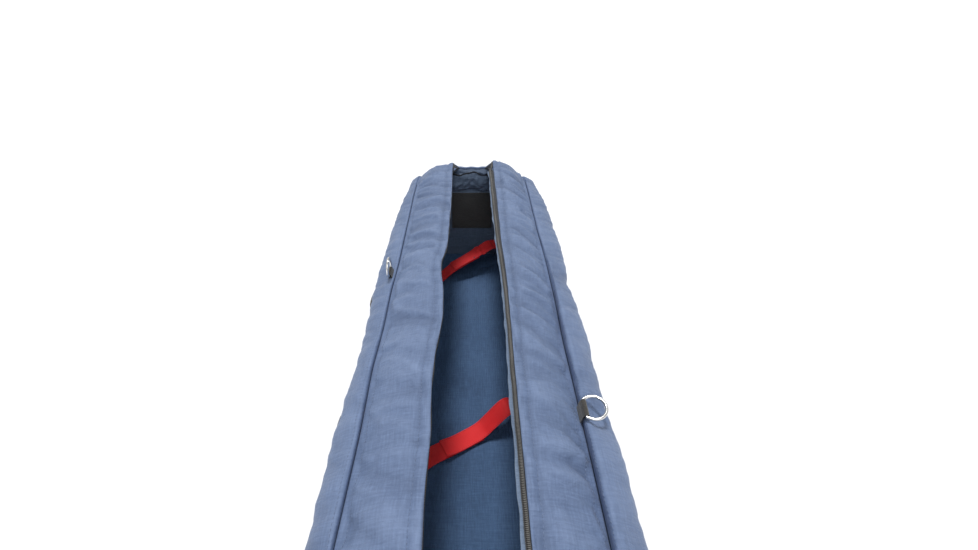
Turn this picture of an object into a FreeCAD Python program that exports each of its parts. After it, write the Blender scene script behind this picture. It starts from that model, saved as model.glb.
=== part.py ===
import FreeCAD, Part
import math
import os

from FreeCAD import Vector as V

os.makedirs("parts", exist_ok=True)

# ---- driving dimensions, mm ----
LENGTH = 1000.0          # overall length along Y
HALF_W = 128.0           # half width of the closed case at the base
SPLAY = 9.5              # degrees each side panel leans out when the mouth is open
END_SPLAY = 5.5          # degrees the fixed corners lean out
HINGE_X = 128.0          # where a side panel meets the floor
HINGE_Z = 10.0
CAP = 46.0               # how far the end panel rolls over on to the sides and lid
SKIN_T = 1.2             # coated nylon with its backing
FOAM_T = 10.0            # padding in the walls
LINE_T = 1.0             # lining cloth
WALL_T = SKIN_T + FOAM_T + LINE_T
WALL_Z0 = 4.0            # lowest point of a closed side panel
BULGE_Z = 205.0          # top of the upright stretch of a side panel
SEAM_X = 92.0            # lid seam, closed
SEAM_Z = 232.0
LID_X = 0.6              # half the gap between the closed lid edges
LID_Z = 243.0            # lid height along the zip, closed
LID_SKIN_T = 1.2
LID_PAD_T = 3.4
FLOOR_HW = 113.5         # half width of the floor between the side panels
FLOOR_SKIN_T = 1.5
BOARD_T = 3.0
FLOOR_FOAM_T = 10.0
FLOOR_LINE_T = 1.0
FLOOR_TOP = FLOOR_SKIN_T + BOARD_T + FLOOR_FOAM_T + FLOOR_LINE_T
END_IN = LENGTH / 2 - WALL_T      # inner face of an end panel
SIDE_HL = LENGTH / 2 - CAP - 2.0  # half length of the hinged side panels and lid flaps
ZIP_EDGE_X = 36.0        # nearest the fixed corners come to the middle line
LID_EDGE_X = 9.0         # padded edge of a closed lid flap; the zip tape reaches on from here
TAPE_HEM = 8.0           # width of zip tape sewn under the lid edge
TAPE_T = 0.9
COIL_W = 3.0
COIL_H = 2.4
RING_R = 14.9            # round of the ring, to the middle of the wire
RING_WIRE = 1.9          # wire radius
RING_Y_LEFT = 125.0
RING_Y_RIGHT = -126.0
TAB_W = 25.0
STRAP_W = 30.0
STRAP_T = 1.6
STRAP_SLOPE = 0.5577     # how far a strap runs along Y for each unit of X
STRAP_MID_Y = (-410.0, -42.0, 410.0)
WEB_T = 2.2
WEB_W = 25.0
HANDLE_Y = 118.0         # handle anchors, each way from the middle
HANDLE_Z = 192.0         # height of the handle's fold on the closed side panel
HANDLE_HANG = 156.0      # depth of the handle loop
PATCH = 100.0


def save(name, shape):
    shape = shape.removeSplitter() if shape.ShapeType != "Solid" else shape
    solids = shape.Solids
    shape = solids[0] if len(solids) == 1 else shape
    assert shape.isValid(), name
    shape.exportStep("parts/%s.step" % name)


def box(x0, x1, y0, y1, z0, z1):
    return Part.makeBox(x1 - x0, y1 - y0, z1 - z0, V(x0, y0, z0))


def lean(shape, side, deg):
    """Turn a piece drawn in the closed state outwards about its floor hinge; side is +1 right, -1 left."""
    s = shape.copy()
    s.rotate(V(side * HINGE_X, 0, HINGE_Z), V(0, 1, 0), side * deg)
    return s


def lean_pt(x, z, side, deg):
    """The same turn for one point of the closed section, given as for the right side."""
    a = math.radians(deg)
    dx, dz = x - HINGE_X, z - HINGE_Z
    return (side * (HINGE_X + dx * math.cos(a) + dz * math.sin(a)), HINGE_Z - dx * math.sin(a) + dz * math.cos(a))


def mirror_x(shape):
    return shape.mirror(V(0, 0, 0), V(1, 0, 0))


def offset_line(pts, d):
    """The open line pts moved d to its left, with mitred corners."""
    out = []
    n = len(pts)
    for i in range(n):
        dirs = []
        for a, b in ((i - 1, i), (i, i + 1)):
            if a >= 0 and b < n:
                dx, dz = pts[b][0] - pts[a][0], pts[b][1] - pts[a][1]
                m = math.hypot(dx, dz)
                dirs.append((dx / m, dz / m))
        if len(dirs) == 1:
            nx, nz = -dirs[0][1], dirs[0][0]
            out.append((pts[i][0] + nx * d, pts[i][1] + nz * d))
        else:
            n1 = (-dirs[0][1], dirs[0][0])
            n2 = (-dirs[1][1], dirs[1][0])
            k = 1 + n1[0] * n2[0] + n1[1] * n2[1]
            out.append((pts[i][0] + (n1[0] + n2[0]) / k * d, pts[i][1] + (n1[1] + n2[1]) / k * d))
    return out


def layer(pts, d0, d1, y0, y1):
    """A sheet that follows the section line pts, between the offsets d0 and d1, from y0 to y1."""
    ring = offset_line(pts, d0) + offset_line(pts, d1)[::-1]
    w = Part.makePolygon([V(x, y0, z) for x, z in ring] + [V(ring[0][0], y0, ring[0][1])])
    return Part.Face(w).extrude(V(0, y1 - y0, 0))


# ---- closed section of the right side, outer surface, from the floor up to the lid seam ----
SIDE = [(HALF_W, WALL_Z0), (HALF_W + 1.5, 60.0), (HALF_W + 2.0, 120.0), (HALF_W + 1.0, 175.0), (HALF_W - 1.5, BULGE_Z),
        (HALF_W - 8.0, 221.0), (HALF_W - 20.0, 229.0), (SEAM_X, SEAM_Z)]
LID = [(SEAM_X - 0.6, SEAM_Z + 0.1), (60.0, 237.0), (30.0, 241.0), (LID_EDGE_X, LID_Z - 0.2)]

# ---- floor ----
fy = END_IN - 0.0
save("floor_skin", box(-FLOOR_HW, FLOOR_HW, -fy, fy, 0, FLOOR_SKIN_T))
z = FLOOR_SKIN_T
save("floor_board", box(-FLOOR_HW + 3, FLOOR_HW - 3, -fy + 3, fy - 3, z, z + BOARD_T))
z += BOARD_T
save("floor_foam", box(-FLOOR_HW + 1, FLOOR_HW - 1, -fy + 1, fy - 1, z, z + FLOOR_FOAM_T))
z += FLOOR_FOAM_T
save("floor_lining", box(-FLOOR_HW, FLOOR_HW, -fy, fy, z, z + FLOOR_LINE_T))

# ---- end panels ----
tx, tz = lean_pt(HALF_W - 1.5, BULGE_Z, 1, END_SPLAY)
sx, sz = lean_pt(HALF_W - 8.0, 221.0, 1, END_SPLAY)
ux, uz = lean_pt(SEAM_X, SEAM_Z, 1, END_SPLAY)
bx, bz = lean_pt(HALF_W, WALL_Z0, 1, END_SPLAY)
END_TOP = 241.0
outline = [(-bx, 0.0), (bx, 0.0), (bx + 1.5, 30.0), (tx, tz), (sx, sz), (ux, uz - 1.0), (60.0, END_TOP), (-60.0, END_TOP),
           (-ux, uz - 1.0), (-sx, sz), (-tx, tz), (-bx - 1.5, 30.0)]


def end_sheet(inset, y0, y1, z_low):
    cx, cz = 0.0, 120.0
    pts = []
    for x, zz in outline:
        k = 1.0 - inset / 130.0
        pts.append((x * k, max(z_low, cz + (zz - cz) * k)))
    w = Part.makePolygon([V(x, y0, zz) for x, zz in pts] + [V(pts[0][0], y0, pts[0][1])])
    return Part.Face(w).extrude(V(0, y1 - y0, 0))


for end, sgn in (("far", 1), ("near", -1)):
    y_out = sgn * LENGTH / 2
    y_s = sgn * (LENGTH / 2 - SKIN_T)
    y_f = sgn * (LENGTH / 2 - SKIN_T - FOAM_T)
    y_l = sgn * END_IN
    save("end_%s_skin" % end, end_sheet(0.0, min(y_out, y_s), max(y_out, y_s), 0.0))
    save("end_%s_foam" % end, end_sheet(1.5, min(y_s, y_f), max(y_s, y_f), 1.5))
    save("end_%s_lining" % end, end_sheet(0.8, min(y_f, y_l), max(y_f, y_l), 0.8))
    pz = 143.0
    pa, pb = sorted((y_l, y_l - sgn * 1.2))
    save("end_%s_patch" % end, box(-46, 54, pa, pb, pz - PATCH / 2, pz + PATCH / 2))

# ---- fixed corners: the end panel rolled round on to the side and the lid ----
cap_line = SIDE + [(60.0, 237.5), (ZIP_EDGE_X - 22.0, 242.0)]
ya, yb = LENGTH / 2 - CAP, END_IN - 0.3
for end, sgn in (("far", 1), ("near", -1)):
    y0, y1 = sorted((sgn * ya, sgn * yb))
    keep = box(ZIP_EDGE_X, 200, -600, 600, WALL_Z0 + 2.0, 400)
    for side, sx_ in (("right", 1), ("left", -1)):
        skin = lean(layer(cap_line, 0.0, SKIN_T, y0, y1), 1, END_SPLAY).common(keep)
        pad = lean(layer(cap_line, SKIN_T, SKIN_T + 5.0, y0, y1), 1, END_SPLAY).common(keep)
        if sx_ < 0:
            skin, pad = mirror_x(skin), mirror_x(pad)
        save("corner_%s_%s_skin" % (end, side), skin)
        save("corner_%s_%s_lining" % (end, side), pad)

# ---- side panels, each wrapping over the top to the lid seam ----
for side, s in (("right", 1), ("left", -1)):
    for name, d0, d1, trim in (("skin", 0.0, SKIN_T, 0.0), ("foam", SKIN_T, SKIN_T + FOAM_T, 0.0), ("lining", SKIN_T + FOAM_T, WALL_T, 0.0)):
        body = layer(SIDE, d0, d1, -SIDE_HL + trim, SIDE_HL - trim)
        body = lean(body, 1, SPLAY)
        save("%s_side_%s" % (side, name), body if s > 0 else mirror_x(body))

# ---- lid flaps ----
for side, s in (("right", 1), ("left", -1)):
    for name, d0, d1 in (("skin", 0.0, LID_SKIN_T), ("lining", LID_SKIN_T, LID_SKIN_T + LID_PAD_T)):
        body = lean(layer(LID, d0, d1, -SIDE_HL, SIDE_HL), 1, SPLAY)
        save("%s_lid_%s" % (side, name), body if s > 0 else mirror_x(body))

# ---- zip on the lid edges ----
tape_z = LID_Z - 0.2 - LID_SKIN_T - LID_PAD_T
tape_x1 = LID_EDGE_X + TAPE_HEM
tape = box(LID_X + 1.0, tape_x1, -SIDE_HL + 2, SIDE_HL - 2, tape_z - TAPE_T - 0.9, tape_z - 0.9)
tape_top = tape_z - 0.9
coil = box(LID_X, LID_X + COIL_W, -SIDE_HL + 2, SIDE_HL - 2, tape_top, tape_top + COIL_H)
for side, s in (("right", 1), ("left", -1)):
    t, c = lean(tape, 1, SPLAY), lean(coil, 1, SPLAY)
    save("%s_zip_tape" % side, t if s > 0 else mirror_x(t))
    save("%s_zip_coil" % side, c if s > 0 else mirror_x(c))

# the zip's two sewn ends, on the top edge of each end panel
ZIP_END_FAR = 24.0
ZIP_END_NEAR = 26.0
for end, sgn, reach in (("far", 1, ZIP_END_FAR), ("near", -1, ZIP_END_NEAR)):
    y0, y1 = sorted((sgn * END_IN, sgn * (END_IN - reach)))
    band = box(-14, 14, y0, y1, tape_top - TAPE_T, tape_top)
    rib = box(-LID_X - COIL_W, LID_X + COIL_W, y0, y1, tape_top, tape_top + COIL_H)
    sy0, sy1 = sorted((sgn * END_IN, sgn * (END_IN - 4.0)))
    stop = box(-5.5, 5.5, sy0, sy1, tape_top - TAPE_T, tape_top + COIL_H + 0.8)
    save("zip_end_%s" % end, band.fuse(rib).fuse(stop))

# slider over the near zip end: two plates, two side rails and a neck that parts the coils
SLIDER_Y = -(END_IN - ZIP_END_NEAR - 3.6 + 8.5 - 2.0)
hl, hw = 8.5, 6.2
deck = tape_top + COIL_H + 0.3
top = box(-hw, hw, SLIDER_Y - hl, SLIDER_Y + hl, deck, deck + 1.6)
bot = box(-hw, hw, SLIDER_Y - hl, SLIDER_Y + hl, tape_top - TAPE_T - 1.7, tape_top - TAPE_T - 0.3)
slider = top.fuse(bot)
for x0, x1 in ((-hw, -hw + 1.4), (hw - 1.4, hw)):
    slider = slider.fuse(box(x0, x1, SLIDER_Y - hl, SLIDER_Y + hl, tape_top + 0.3, deck + 0.3))
slider = slider.fuse(box(-0.45, 0.45, SLIDER_Y + hl - 2.6, SLIDER_Y + hl, tape_top - TAPE_T - 1.0, deck + 0.5))
bail_in, bail_t = 2.6, 1.4
bail = box(-1.2, 1.2, SLIDER_Y - bail_in - bail_t, SLIDER_Y + bail_in + bail_t, deck + 1.0, deck + 1.6 + 3.0 + bail_t)
bail = bail.cut(box(-2, 2, SLIDER_Y - bail_in, SLIDER_Y + bail_in, deck + 1.6, deck + 1.6 + 3.0))
save("zip_slider", slider.fuse(bail))

# pull tab: a cross pin through the slider's bail, two arms and a grip
PULL_Z = deck + 1.6 + 1.4
pin = Part.makeCylinder(0.8, 8.4, V(-4.2, SLIDER_Y, PULL_Z), V(1, 0, 0))
pull = pin
for x0, x1 in ((-4.2, -2.4), (2.4, 4.2)):
    pull = pull.fuse(box(x0, x1, SLIDER_Y - 9.0, SLIDER_Y + 0.8, PULL_Z - 0.8, PULL_Z + 0.8))
grip = box(-5.0, 5.0, SLIDER_Y - 34.0, SLIDER_Y - 7.0, PULL_Z - 0.8, PULL_Z + 0.8)
grip = grip.cut(Part.makeCylinder(2.0, 6, V(0, SLIDER_Y - 29.0, PULL_Z - 3), V(0, 0, 1)))
save("zip_pull", pull.fuse(grip))

# ---- D rings and their tabs, on each lid seam ----
seg = (SIDE[-2][0] - SIDE[-1][0], SIDE[-2][1] - SIDE[-1][1])
m = math.hypot(*seg)
u = (seg[0] / m, seg[1] / m)          # outwards along the panel from the seam
nrm = (-u[1], u[0])                   # away from the panel
BAR_OUT, BAR_UP = 1.7, 4.2
bar_c = (SEAM_X + u[0] * BAR_OUT + nrm[0] * BAR_UP, SEAM_Z + u[1] * BAR_OUT + nrm[1] * BAR_UP)
bar_x, bar_z = lean_pt(bar_c[0], bar_c[1], 1, SPLAY)
BOW_OUT = 9.5            # middle of the ring's round, out from its bar


def d_ring(elev_deg, y_mid, side):
    """A round D ring: its straight bar lies along Y in the tab, its bow stands off at elev_deg above level, outwards."""
    w = RING_WIRE
    half = math.sqrt(RING_R ** 2 - BOW_OUT ** 2)
    ring = Part.makeCylinder(w, 2 * half, V(0, -half, 0), V(0, 1, 0))
    bow = Part.makeTorus(RING_R, w, V(BOW_OUT, 0, 0), V(0, 0, 1)).common(Part.makeBox(60, 80, 20, V(0, -40, -10)))
    ring = ring.fuse(bow)
    for k in (-1, 1):
        ring = ring.fuse(Part.makeSphere(w, V(0, k * half, 0)))
    ring.rotate(V(0, 0, 0), V(0, 1, 0), -elev_deg)
    ring.translate(V(bar_x, y_mid, bar_z))
    return ring if side > 0 else mirror_x(ring)


def tab(y_mid, side):
    """A strip of webbing round the ring's bar, its doubled tail sewn down on the side panel beside the seam."""
    half = TAB_W / 2 - 2.5
    y0, y1 = y_mid - half, y_mid + half
    outer = Part.makeCylinder(3.25, y1 - y0, V(0, y0, 0), V(0, 1, 0))
    inner = Part.makeCylinder(2.15, y1 - y0 + 2, V(0, y0 - 1, 0), V(0, 1, 0))
    tail = Part.makeBox(7.0, y1 - y0, 2.2, V(0.0, y0, -BAR_UP))
    rise = Part.makeBox(3.0, y1 - y0, BAR_UP - 1.0, V(0.0, y0, -BAR_UP))
    t = outer.fuse(tail).fuse(rise).cut(inner)
    t.rotate(V(0, 0, 0), V(0, 1, 0), -math.degrees(math.atan2(u[1], u[0])))
    t.translate(V(bar_c[0], 0, bar_c[1]))
    t = lean(t, 1, SPLAY)
    return t if side > 0 else mirror_x(t)


save("left_ring_tab", tab(RING_Y_LEFT, -1))
save("right_ring_tab", tab(RING_Y_RIGHT, 1))
save("left_ring", d_ring(90.0, RING_Y_LEFT, -1))
save("right_ring", d_ring(8.0, RING_Y_RIGHT, 1))

# ---- grab handles, hanging down the outside of the side panels ----
axis_x, axis_z = lean_pt(HALF_W + 5.6, HANDLE_Z, 1, SPLAY)
patch_line = [(HALF_W + 1.0 + 0.27, 160.0), (HALF_W + 1.0, 175.0), (HALF_W + 1.0 - 2.5 * 13.0 / 30.0, 188.0)]
for side, s in (("right", 1), ("left", -1)):
    for end, k in (("far", 1), ("near", -1)):
        y0, y1 = k * HANDLE_Y - WEB_W / 2, k * HANDLE_Y + WEB_W / 2
        p = lean(layer(patch_line, -WEB_T, 0.0, y0, y1), 1, SPLAY)
        save("%s_handle_%s_patch" % (side, end), p if s > 0 else mirror_x(p))
    t = WEB_T / 2
    # outline of the flat loop in the plane through the hinge line: legs down, rounded corners, grip across
    ro, ri = 48.0, 48.0 - WEB_W

    def loop(half, depth, r, x):
        h = half - r
        e = []
        e.append(Part.LineSegment(V(x, -half, 0), V(x, -half, -(depth - r))).toShape())
        e.append(Part.Arc(V(x, -half, -(depth - r)), V(x, -h - r * math.sqrt(0.5), -(depth - r) - r * math.sqrt(0.5)), V(x, -h, -depth)).toShape())
        e.append(Part.LineSegment(V(x, -h, -depth), V(x, h, -depth)).toShape())
        e.append(Part.Arc(V(x, h, -depth), V(x, h + r * math.sqrt(0.5), -(depth - r) - r * math.sqrt(0.5)), V(x, half, -(depth - r))).toShape())
        e.append(Part.LineSegment(V(x, half, -(depth - r)), V(x, half, 0)).toShape())
        e.append(Part.LineSegment(V(x, half, 0), V(x, -half, 0)).toShape())
        return Part.Face(Part.Wire(e))

    big = loop(HANDLE_Y + WEB_W / 2, HANDLE_HANG, ro, -t).extrude(V(WEB_T, 0, 0))
    small = loop(HANDLE_Y - WEB_W / 2, HANDLE_HANG - WEB_W, ri, -t - 1).extrude(V(WEB_T + 2, 0, 0))
    small.translate(V(0, 0, 0.001))
    band = big.cut(small)
    # the folds at the hinge, one on each leg
    for k in (-1, 1):
        band = band.fuse(Part.makeCylinder(1.6, WEB_W, V(0, k * HANDLE_Y - WEB_W / 2, 0), V(0, 1, 0)))
    band.translate(V(axis_x, 0, axis_z))
    save("%s_handle" % side, band if s > 0 else mirror_x(band))

# ---- red hold-down straps ----
beta = math.atan(STRAP_SLOPE)
half_len = 104.0 / math.cos(beta)
zf = FLOOR_TOP


def strap_piece(pts, d0, d1, y_mid):
    """A strap run given by its underside line (distance along, height), thickened upwards."""
    s = layer(pts, d0, d1, -STRAP_W / 2, STRAP_W / 2)
    s.rotate(V(0, 0, 0), V(0, 0, 1), math.degrees(beta))
    s.translate(V(0, y_mid, 0))
    return s


hinge_s = half_len - 20.0
# underside of each strap's sewn run and of its peeling run: (distance along the strap, height)
ARCHED = (
    [(-half_len, zf), (-half_len + 20, zf), (-half_len + 42, zf + 10.0), (-52.0, zf + 24.0), (-20.0, zf + 33.0), (18.0, zf + 38.0)],
    [(-50.0, zf + 28.0), (-20.0, zf + 36.2), (18.0, zf + 41.2), (40.0, zf + 44.0), (62.0, zf + 41.0), (hinge_s - 12.0, zf + 22.0),
     (hinge_s - 2.0, zf + 4.2), (hinge_s + 0.2, zf + 1.0)])
HIGH = (
    [(-half_len, zf), (-half_len + 20, zf), (-half_len + 42, zf + 10.0), (-52.0, zf + 24.0), (-20.0, zf + 34.5), (18.0, zf + 42.0)],
    [(-50.0, zf + 28.3), (-20.0, zf + 37.8), (18.0, zf + 45.4), (40.0, zf + 53.0), (62.0, zf + 57.0), (81.0, zf + 49.0),
     (hinge_s - 6.5, zf + 20.0), (hinge_s - 1.9, zf + 4.2), (hinge_s + 0.2, zf + 1.0)])
SLACK = (
    [(-half_len, zf), (-half_len + 20, zf), (-half_len + 36, zf + 5.0), (-60.0, zf + 8.0), (-20.0, zf + 3.0), (18.0, zf + 4.0)],
    [(-50.0, zf + 11.5), (-20.0, zf + 6.4), (18.0, zf + 7.4), (38.0, zf + 20.0), (57.0, zf + 36.0), (70.0, zf + 41.0), (82.0, zf + 34.0),
     (hinge_s - 7.0, zf + 14.0), (hinge_s - 1.8, zf + 4.2), (hinge_s + 0.2, zf + 1.0)])
for i, (y_mid, (low, up)) in enumerate(zip(STRAP_MID_Y, (ARCHED, SLACK, HIGH)), 1):
    save("strap_%d_sewn" % i, strap_piece(low, 0.0, STRAP_T, y_mid))
    save("strap_%d_anchor" % i, strap_piece([(hinge_s + 2.2, zf), (half_len, zf)], 0.0, STRAP_T, y_mid))
    save("strap_%d_peel" % i, strap_piece(up, 0.0, STRAP_T, y_mid))
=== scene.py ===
import bpy
import bmesh
import math
import numpy as np
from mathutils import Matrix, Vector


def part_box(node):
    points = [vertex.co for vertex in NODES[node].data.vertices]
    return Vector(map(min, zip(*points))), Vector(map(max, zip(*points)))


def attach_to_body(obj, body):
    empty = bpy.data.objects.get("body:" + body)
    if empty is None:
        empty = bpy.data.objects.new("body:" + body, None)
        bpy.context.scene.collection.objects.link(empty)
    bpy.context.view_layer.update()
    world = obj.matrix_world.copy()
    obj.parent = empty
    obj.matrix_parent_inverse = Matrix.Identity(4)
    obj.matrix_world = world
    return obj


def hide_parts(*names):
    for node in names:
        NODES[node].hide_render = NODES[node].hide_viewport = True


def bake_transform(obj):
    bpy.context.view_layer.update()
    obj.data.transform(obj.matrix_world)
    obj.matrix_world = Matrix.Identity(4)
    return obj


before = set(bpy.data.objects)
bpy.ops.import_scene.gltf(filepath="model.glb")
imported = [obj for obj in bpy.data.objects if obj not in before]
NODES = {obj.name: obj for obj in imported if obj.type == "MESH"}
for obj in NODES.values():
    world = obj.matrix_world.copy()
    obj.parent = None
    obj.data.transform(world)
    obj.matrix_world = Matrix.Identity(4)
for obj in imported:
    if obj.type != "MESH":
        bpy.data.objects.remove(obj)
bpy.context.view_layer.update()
scene = bpy.context.scene

# ------------------------------------------------------------------ noise


def _grad(ix, iy, seed):
    n = (ix * 374761393 + iy * 668265263 + seed * 362437) & 0xFFFFFFFF
    n = ((n ^ (n >> 13)) * 1274126177) & 0xFFFFFFFF
    a = ((n ^ (n >> 16)) & 0xFFFF) / 65536.0 * 2 * math.pi
    return np.cos(a), np.sin(a)


def noise(x, y, seed=1):
    """Smooth gradient noise, about -1 to 1, period-free."""
    x, y = np.broadcast_arrays(np.asarray(x, float), np.asarray(y, float))
    ix, iy = np.floor(x).astype(np.int64), np.floor(y).astype(np.int64)
    fx, fy = x - ix, y - iy
    u, v = fx * fx * fx * (fx * (fx * 6 - 15) + 10), fy * fy * fy * (fy * (fy * 6 - 15) + 10)
    out = 0
    for dx in (0, 1):
        for dy in (0, 1):
            gx, gy = _grad(ix + dx, iy + dy, seed)
            w = (u if dx else 1 - u) * (v if dy else 1 - v)
            out = out + w * (gx * (fx - dx) + gy * (fy - dy))
    return out * 1.5


def fbm(x, y, seed=1, n=3):
    s, a = 0, 1.0
    for i in range(n):
        s = s + a * noise(x * 2**i, y * 2**i, seed + 17 * i)
        a *= 0.5
    return s


def ridge(x, y, seed=1):
    """Narrow creases: 1 on a crease, falling to 0."""
    return np.clip(1 - np.abs(noise(x, y, seed)) * 3.2, 0, 1) ** 2


def smooth(a, b, x):
    t = np.clip((np.asarray(x, float) - a) / (b - a), 0, 1)
    return t * t * (3 - 2 * t)


def gauss(x, c, w):
    return np.exp(-(((x - c) / w) ** 2))


# ------------------------------------------------------------------ mesh helpers


def make_mesh(name, verts, faces, mats, mat_idx=None, uvs=None, wear_and_crest_light=None, smooth_shade=True):
    me = bpy.data.meshes.new(name)
    me.from_pydata([tuple(v) for v in verts], [], [tuple(int(i) for i in f) for f in faces])
    me.update()
    bm = bmesh.new()
    bm.from_mesh(me)
    bmesh.ops.recalc_face_normals(bm, faces=bm.faces)
    bm.to_mesh(me)
    bm.free()
    for m in mats:
        me.materials.append(m)
    if mat_idx is not None:
        me.polygons.foreach_set("material_index", np.asarray(mat_idx, np.int32))
    me.polygons.foreach_set("use_smooth", np.full(len(me.polygons), smooth_shade))
    loops = np.empty(len(me.loops), np.int32)
    me.loops.foreach_get("vertex_index", loops)
    if uvs is not None:
        layer = me.uv_layers.new(name="UVMap")
        layer.data.foreach_set("uv", np.asarray(uvs, np.float32)[loops].ravel())
    # the values split into two colour attributes: positive is rubbed wear plus painted highlight on fold crests,
    # negative is painted shade in fold valleys
    if wear_and_crest_light is not None:
        at = me.color_attributes.new(name="wear_and_crest_light", type="FLOAT_COLOR", domain="POINT")
        full = np.asarray(wear_and_crest_light, np.float32).ravel()
        w = np.clip(full, 0, 1)
        at.data.foreach_set("color", np.stack([w, w, w, np.ones_like(w)], 1).ravel())
        at = me.color_attributes.new(name="fold_shade", type="FLOAT_COLOR", domain="POINT")
        w = np.clip(-full, 0, 1)
        at.data.foreach_set("color", np.stack([w, w, w, np.ones_like(w)], 1).ravel())
    ob = bpy.data.objects.new(name, me)
    scene.collection.objects.link(ob)
    return ob


def grid_normals(G):
    dv = np.gradient(G, axis=0)
    du = np.gradient(G, axis=1)
    n = np.cross(du, dv)
    n /= np.maximum(np.linalg.norm(n, axis=2, keepdims=True), 1e-12)
    return n


def arc_uv(G):
    """Lengths along the two grid directions, for a weave that keeps its scale."""
    du = np.linalg.norm(np.diff(G, axis=1), axis=2).mean(0)
    dv = np.linalg.norm(np.diff(G, axis=0), axis=2).mean(1)
    u = np.concatenate([[0], np.cumsum(du)])
    v = np.concatenate([[0], np.cumsum(dv)])
    U, Vv = np.meshgrid(u, v)
    return np.stack([U, Vv], 2)


def quads(nv, nu, off=0, flip=False):
    i = np.arange(nv - 1)[:, None] * nu + np.arange(nu - 1)[None, :] + off
    q = np.stack([i, i + 1, i + nu + 1, i + nu], 2).reshape(-1, 4)
    return q[:, ::-1] if flip else q


def sharpen(ob, pairs):
    """Mark the edges between the given vertex pairs as sharp, so a rim does not smear the shading of the face beside it."""
    me = ob.data
    n = len(me.vertices)
    ev = np.empty(len(me.edges) * 2, np.int64)
    me.edges.foreach_get("vertices", ev)
    ev = ev.reshape(-1, 2)
    key = ev.min(1) * n + ev.max(1)
    p = np.asarray(pairs, np.int64)
    want = p.min(1) * n + p.max(1)
    at = me.attributes.get("sharp_edge") or me.attributes.new("sharp_edge", "BOOLEAN", "EDGE")
    at.data.foreach_set("value", np.isin(key, want))


def shell(name, top, thick, mats, flip=False, wear_and_crest_light=None, inner=None, inner_wr=None, uvoff=(0, 0), vabs=False):
    """A closed padded sheet: its outer face is the grid top, its inner face lies thick behind it.
    mats are outer, inner. flip turns the outside round."""
    nv, nu = top.shape[:2]
    n = grid_normals(top) * (-1 if flip else 1)
    if inner is None:
        th = np.broadcast_to(thick, (nv, nu))[..., None]
        inner = top - n * th
    if inner_wr is not None:
        inner = inner - n * inner_wr[..., None]
    uv = arc_uv(top) + np.array(uvoff)
    if vabs:
        uv[..., 1] = top[..., 1]
    V = np.concatenate([top.reshape(-1, 3), inner.reshape(-1, 3)])
    UV = np.concatenate([uv.reshape(-1, 2), uv.reshape(-1, 2)])
    m = nv * nu
    a = quads(nv, nu, 0, flip)
    b = quads(nv, nu, m, not flip)
    edge = []
    rim = [(0, j) for j in range(nu)] + [(i, nu - 1) for i in range(1, nv)] + [(nv - 1, j) for j in range(nu - 2, -1, -1)] + [(i, 0) for i in range(nv - 2, 0, -1)]
    ids = [i * nu + j for i, j in rim]
    for k in range(len(ids)):
        p, q = ids[k], ids[(k + 1) % len(ids)]
        edge.append((q, p, p + m, q + m) if not flip else (p, q, q + m, p + m))
    F = np.concatenate([a, b, np.array(edge)])
    idx = np.concatenate([np.zeros(len(a), int), np.ones(len(b), int), np.zeros(len(edge), int)])
    w = None
    if wear_and_crest_light is not None:
        w = np.concatenate([np.broadcast_to(wear_and_crest_light, (nv, nu)).ravel(), np.zeros(m)])
    ob = make_mesh(name, V, F, mats, idx, UV, w)
    ids = np.array(ids)
    nx = np.roll(ids, -1)
    sharpen(ob, np.concatenate([np.stack([ids, nx], 1), np.stack([ids + m, nx + m], 1)]))
    return ob


def cr(P, t):
    """Catmull-Rom through P (rows, k, 2) at t from 0 to k-1."""
    k = P.shape[1]
    i = np.clip(np.floor(t).astype(int), 0, k - 2)
    f = (t - i)[None, :, None]
    p0, p1, p2, p3 = P[:, np.clip(i - 1, 0, k - 1)], P[:, i], P[:, i + 1], P[:, np.clip(i + 2, 0, k - 1)]
    return 0.5 * (2 * p1 + (p2 - p0) * f + (2 * p0 - 5 * p1 + 4 * p2 - p3) * f**2 + (3 * p1 - p0 - 3 * p2 + p3) * f**3)


def tube(name, pts, r, mat, sides=8, closed=False, squash_n=None):
    """A round mesh tube along points, with parallel-transported frames."""
    P = np.asarray(pts, float)
    n = len(P)
    T = np.gradient(P, axis=0)
    if closed:
        T = np.roll(P, -1, 0) - np.roll(P, 1, 0)
    T /= np.linalg.norm(T, axis=1, keepdims=True)
    ref = np.array([0, 0, 1.0]) if abs(T[0][2]) < 0.9 else np.array([1.0, 0, 0])
    N = np.cross(T[0], ref)
    N /= np.linalg.norm(N)
    Ns = [N]
    for i in range(1, n):
        v = Ns[-1] - T[i] * np.dot(Ns[-1], T[i])
        Ns.append(v / np.linalg.norm(v))
    Ns = np.array(Ns)
    B = np.cross(T, Ns)
    a = np.arange(sides) / sides * 2 * np.pi
    rr = np.broadcast_to(r, n)[:, None, None]
    ring = P[:, None, :] + rr * (np.cos(a)[None, :, None] * Ns[:, None, :] + np.sin(a)[None, :, None] * B[:, None, :])
    V = ring.reshape(-1, 3)
    F = []
    rows = n if closed else n - 1
    for i in range(rows):
        j = (i + 1) % n
        for s in range(sides):
            s2 = (s + 1) % sides
            F.append((i * sides + s, i * sides + s2, j * sides + s2, j * sides + s))
    if not closed:
        F.append(tuple(range(sides - 1, -1, -1)))
        F.append(tuple((n - 1) * sides + s for s in range(sides)))
    L = np.concatenate([[0], np.cumsum(np.linalg.norm(np.diff(P, axis=0), axis=1))])
    UV = np.stack([np.repeat(L, sides), np.tile(a * float(np.mean(r)), n)], 1)
    return make_mesh(name, V, F, [mat], None, UV)


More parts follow.
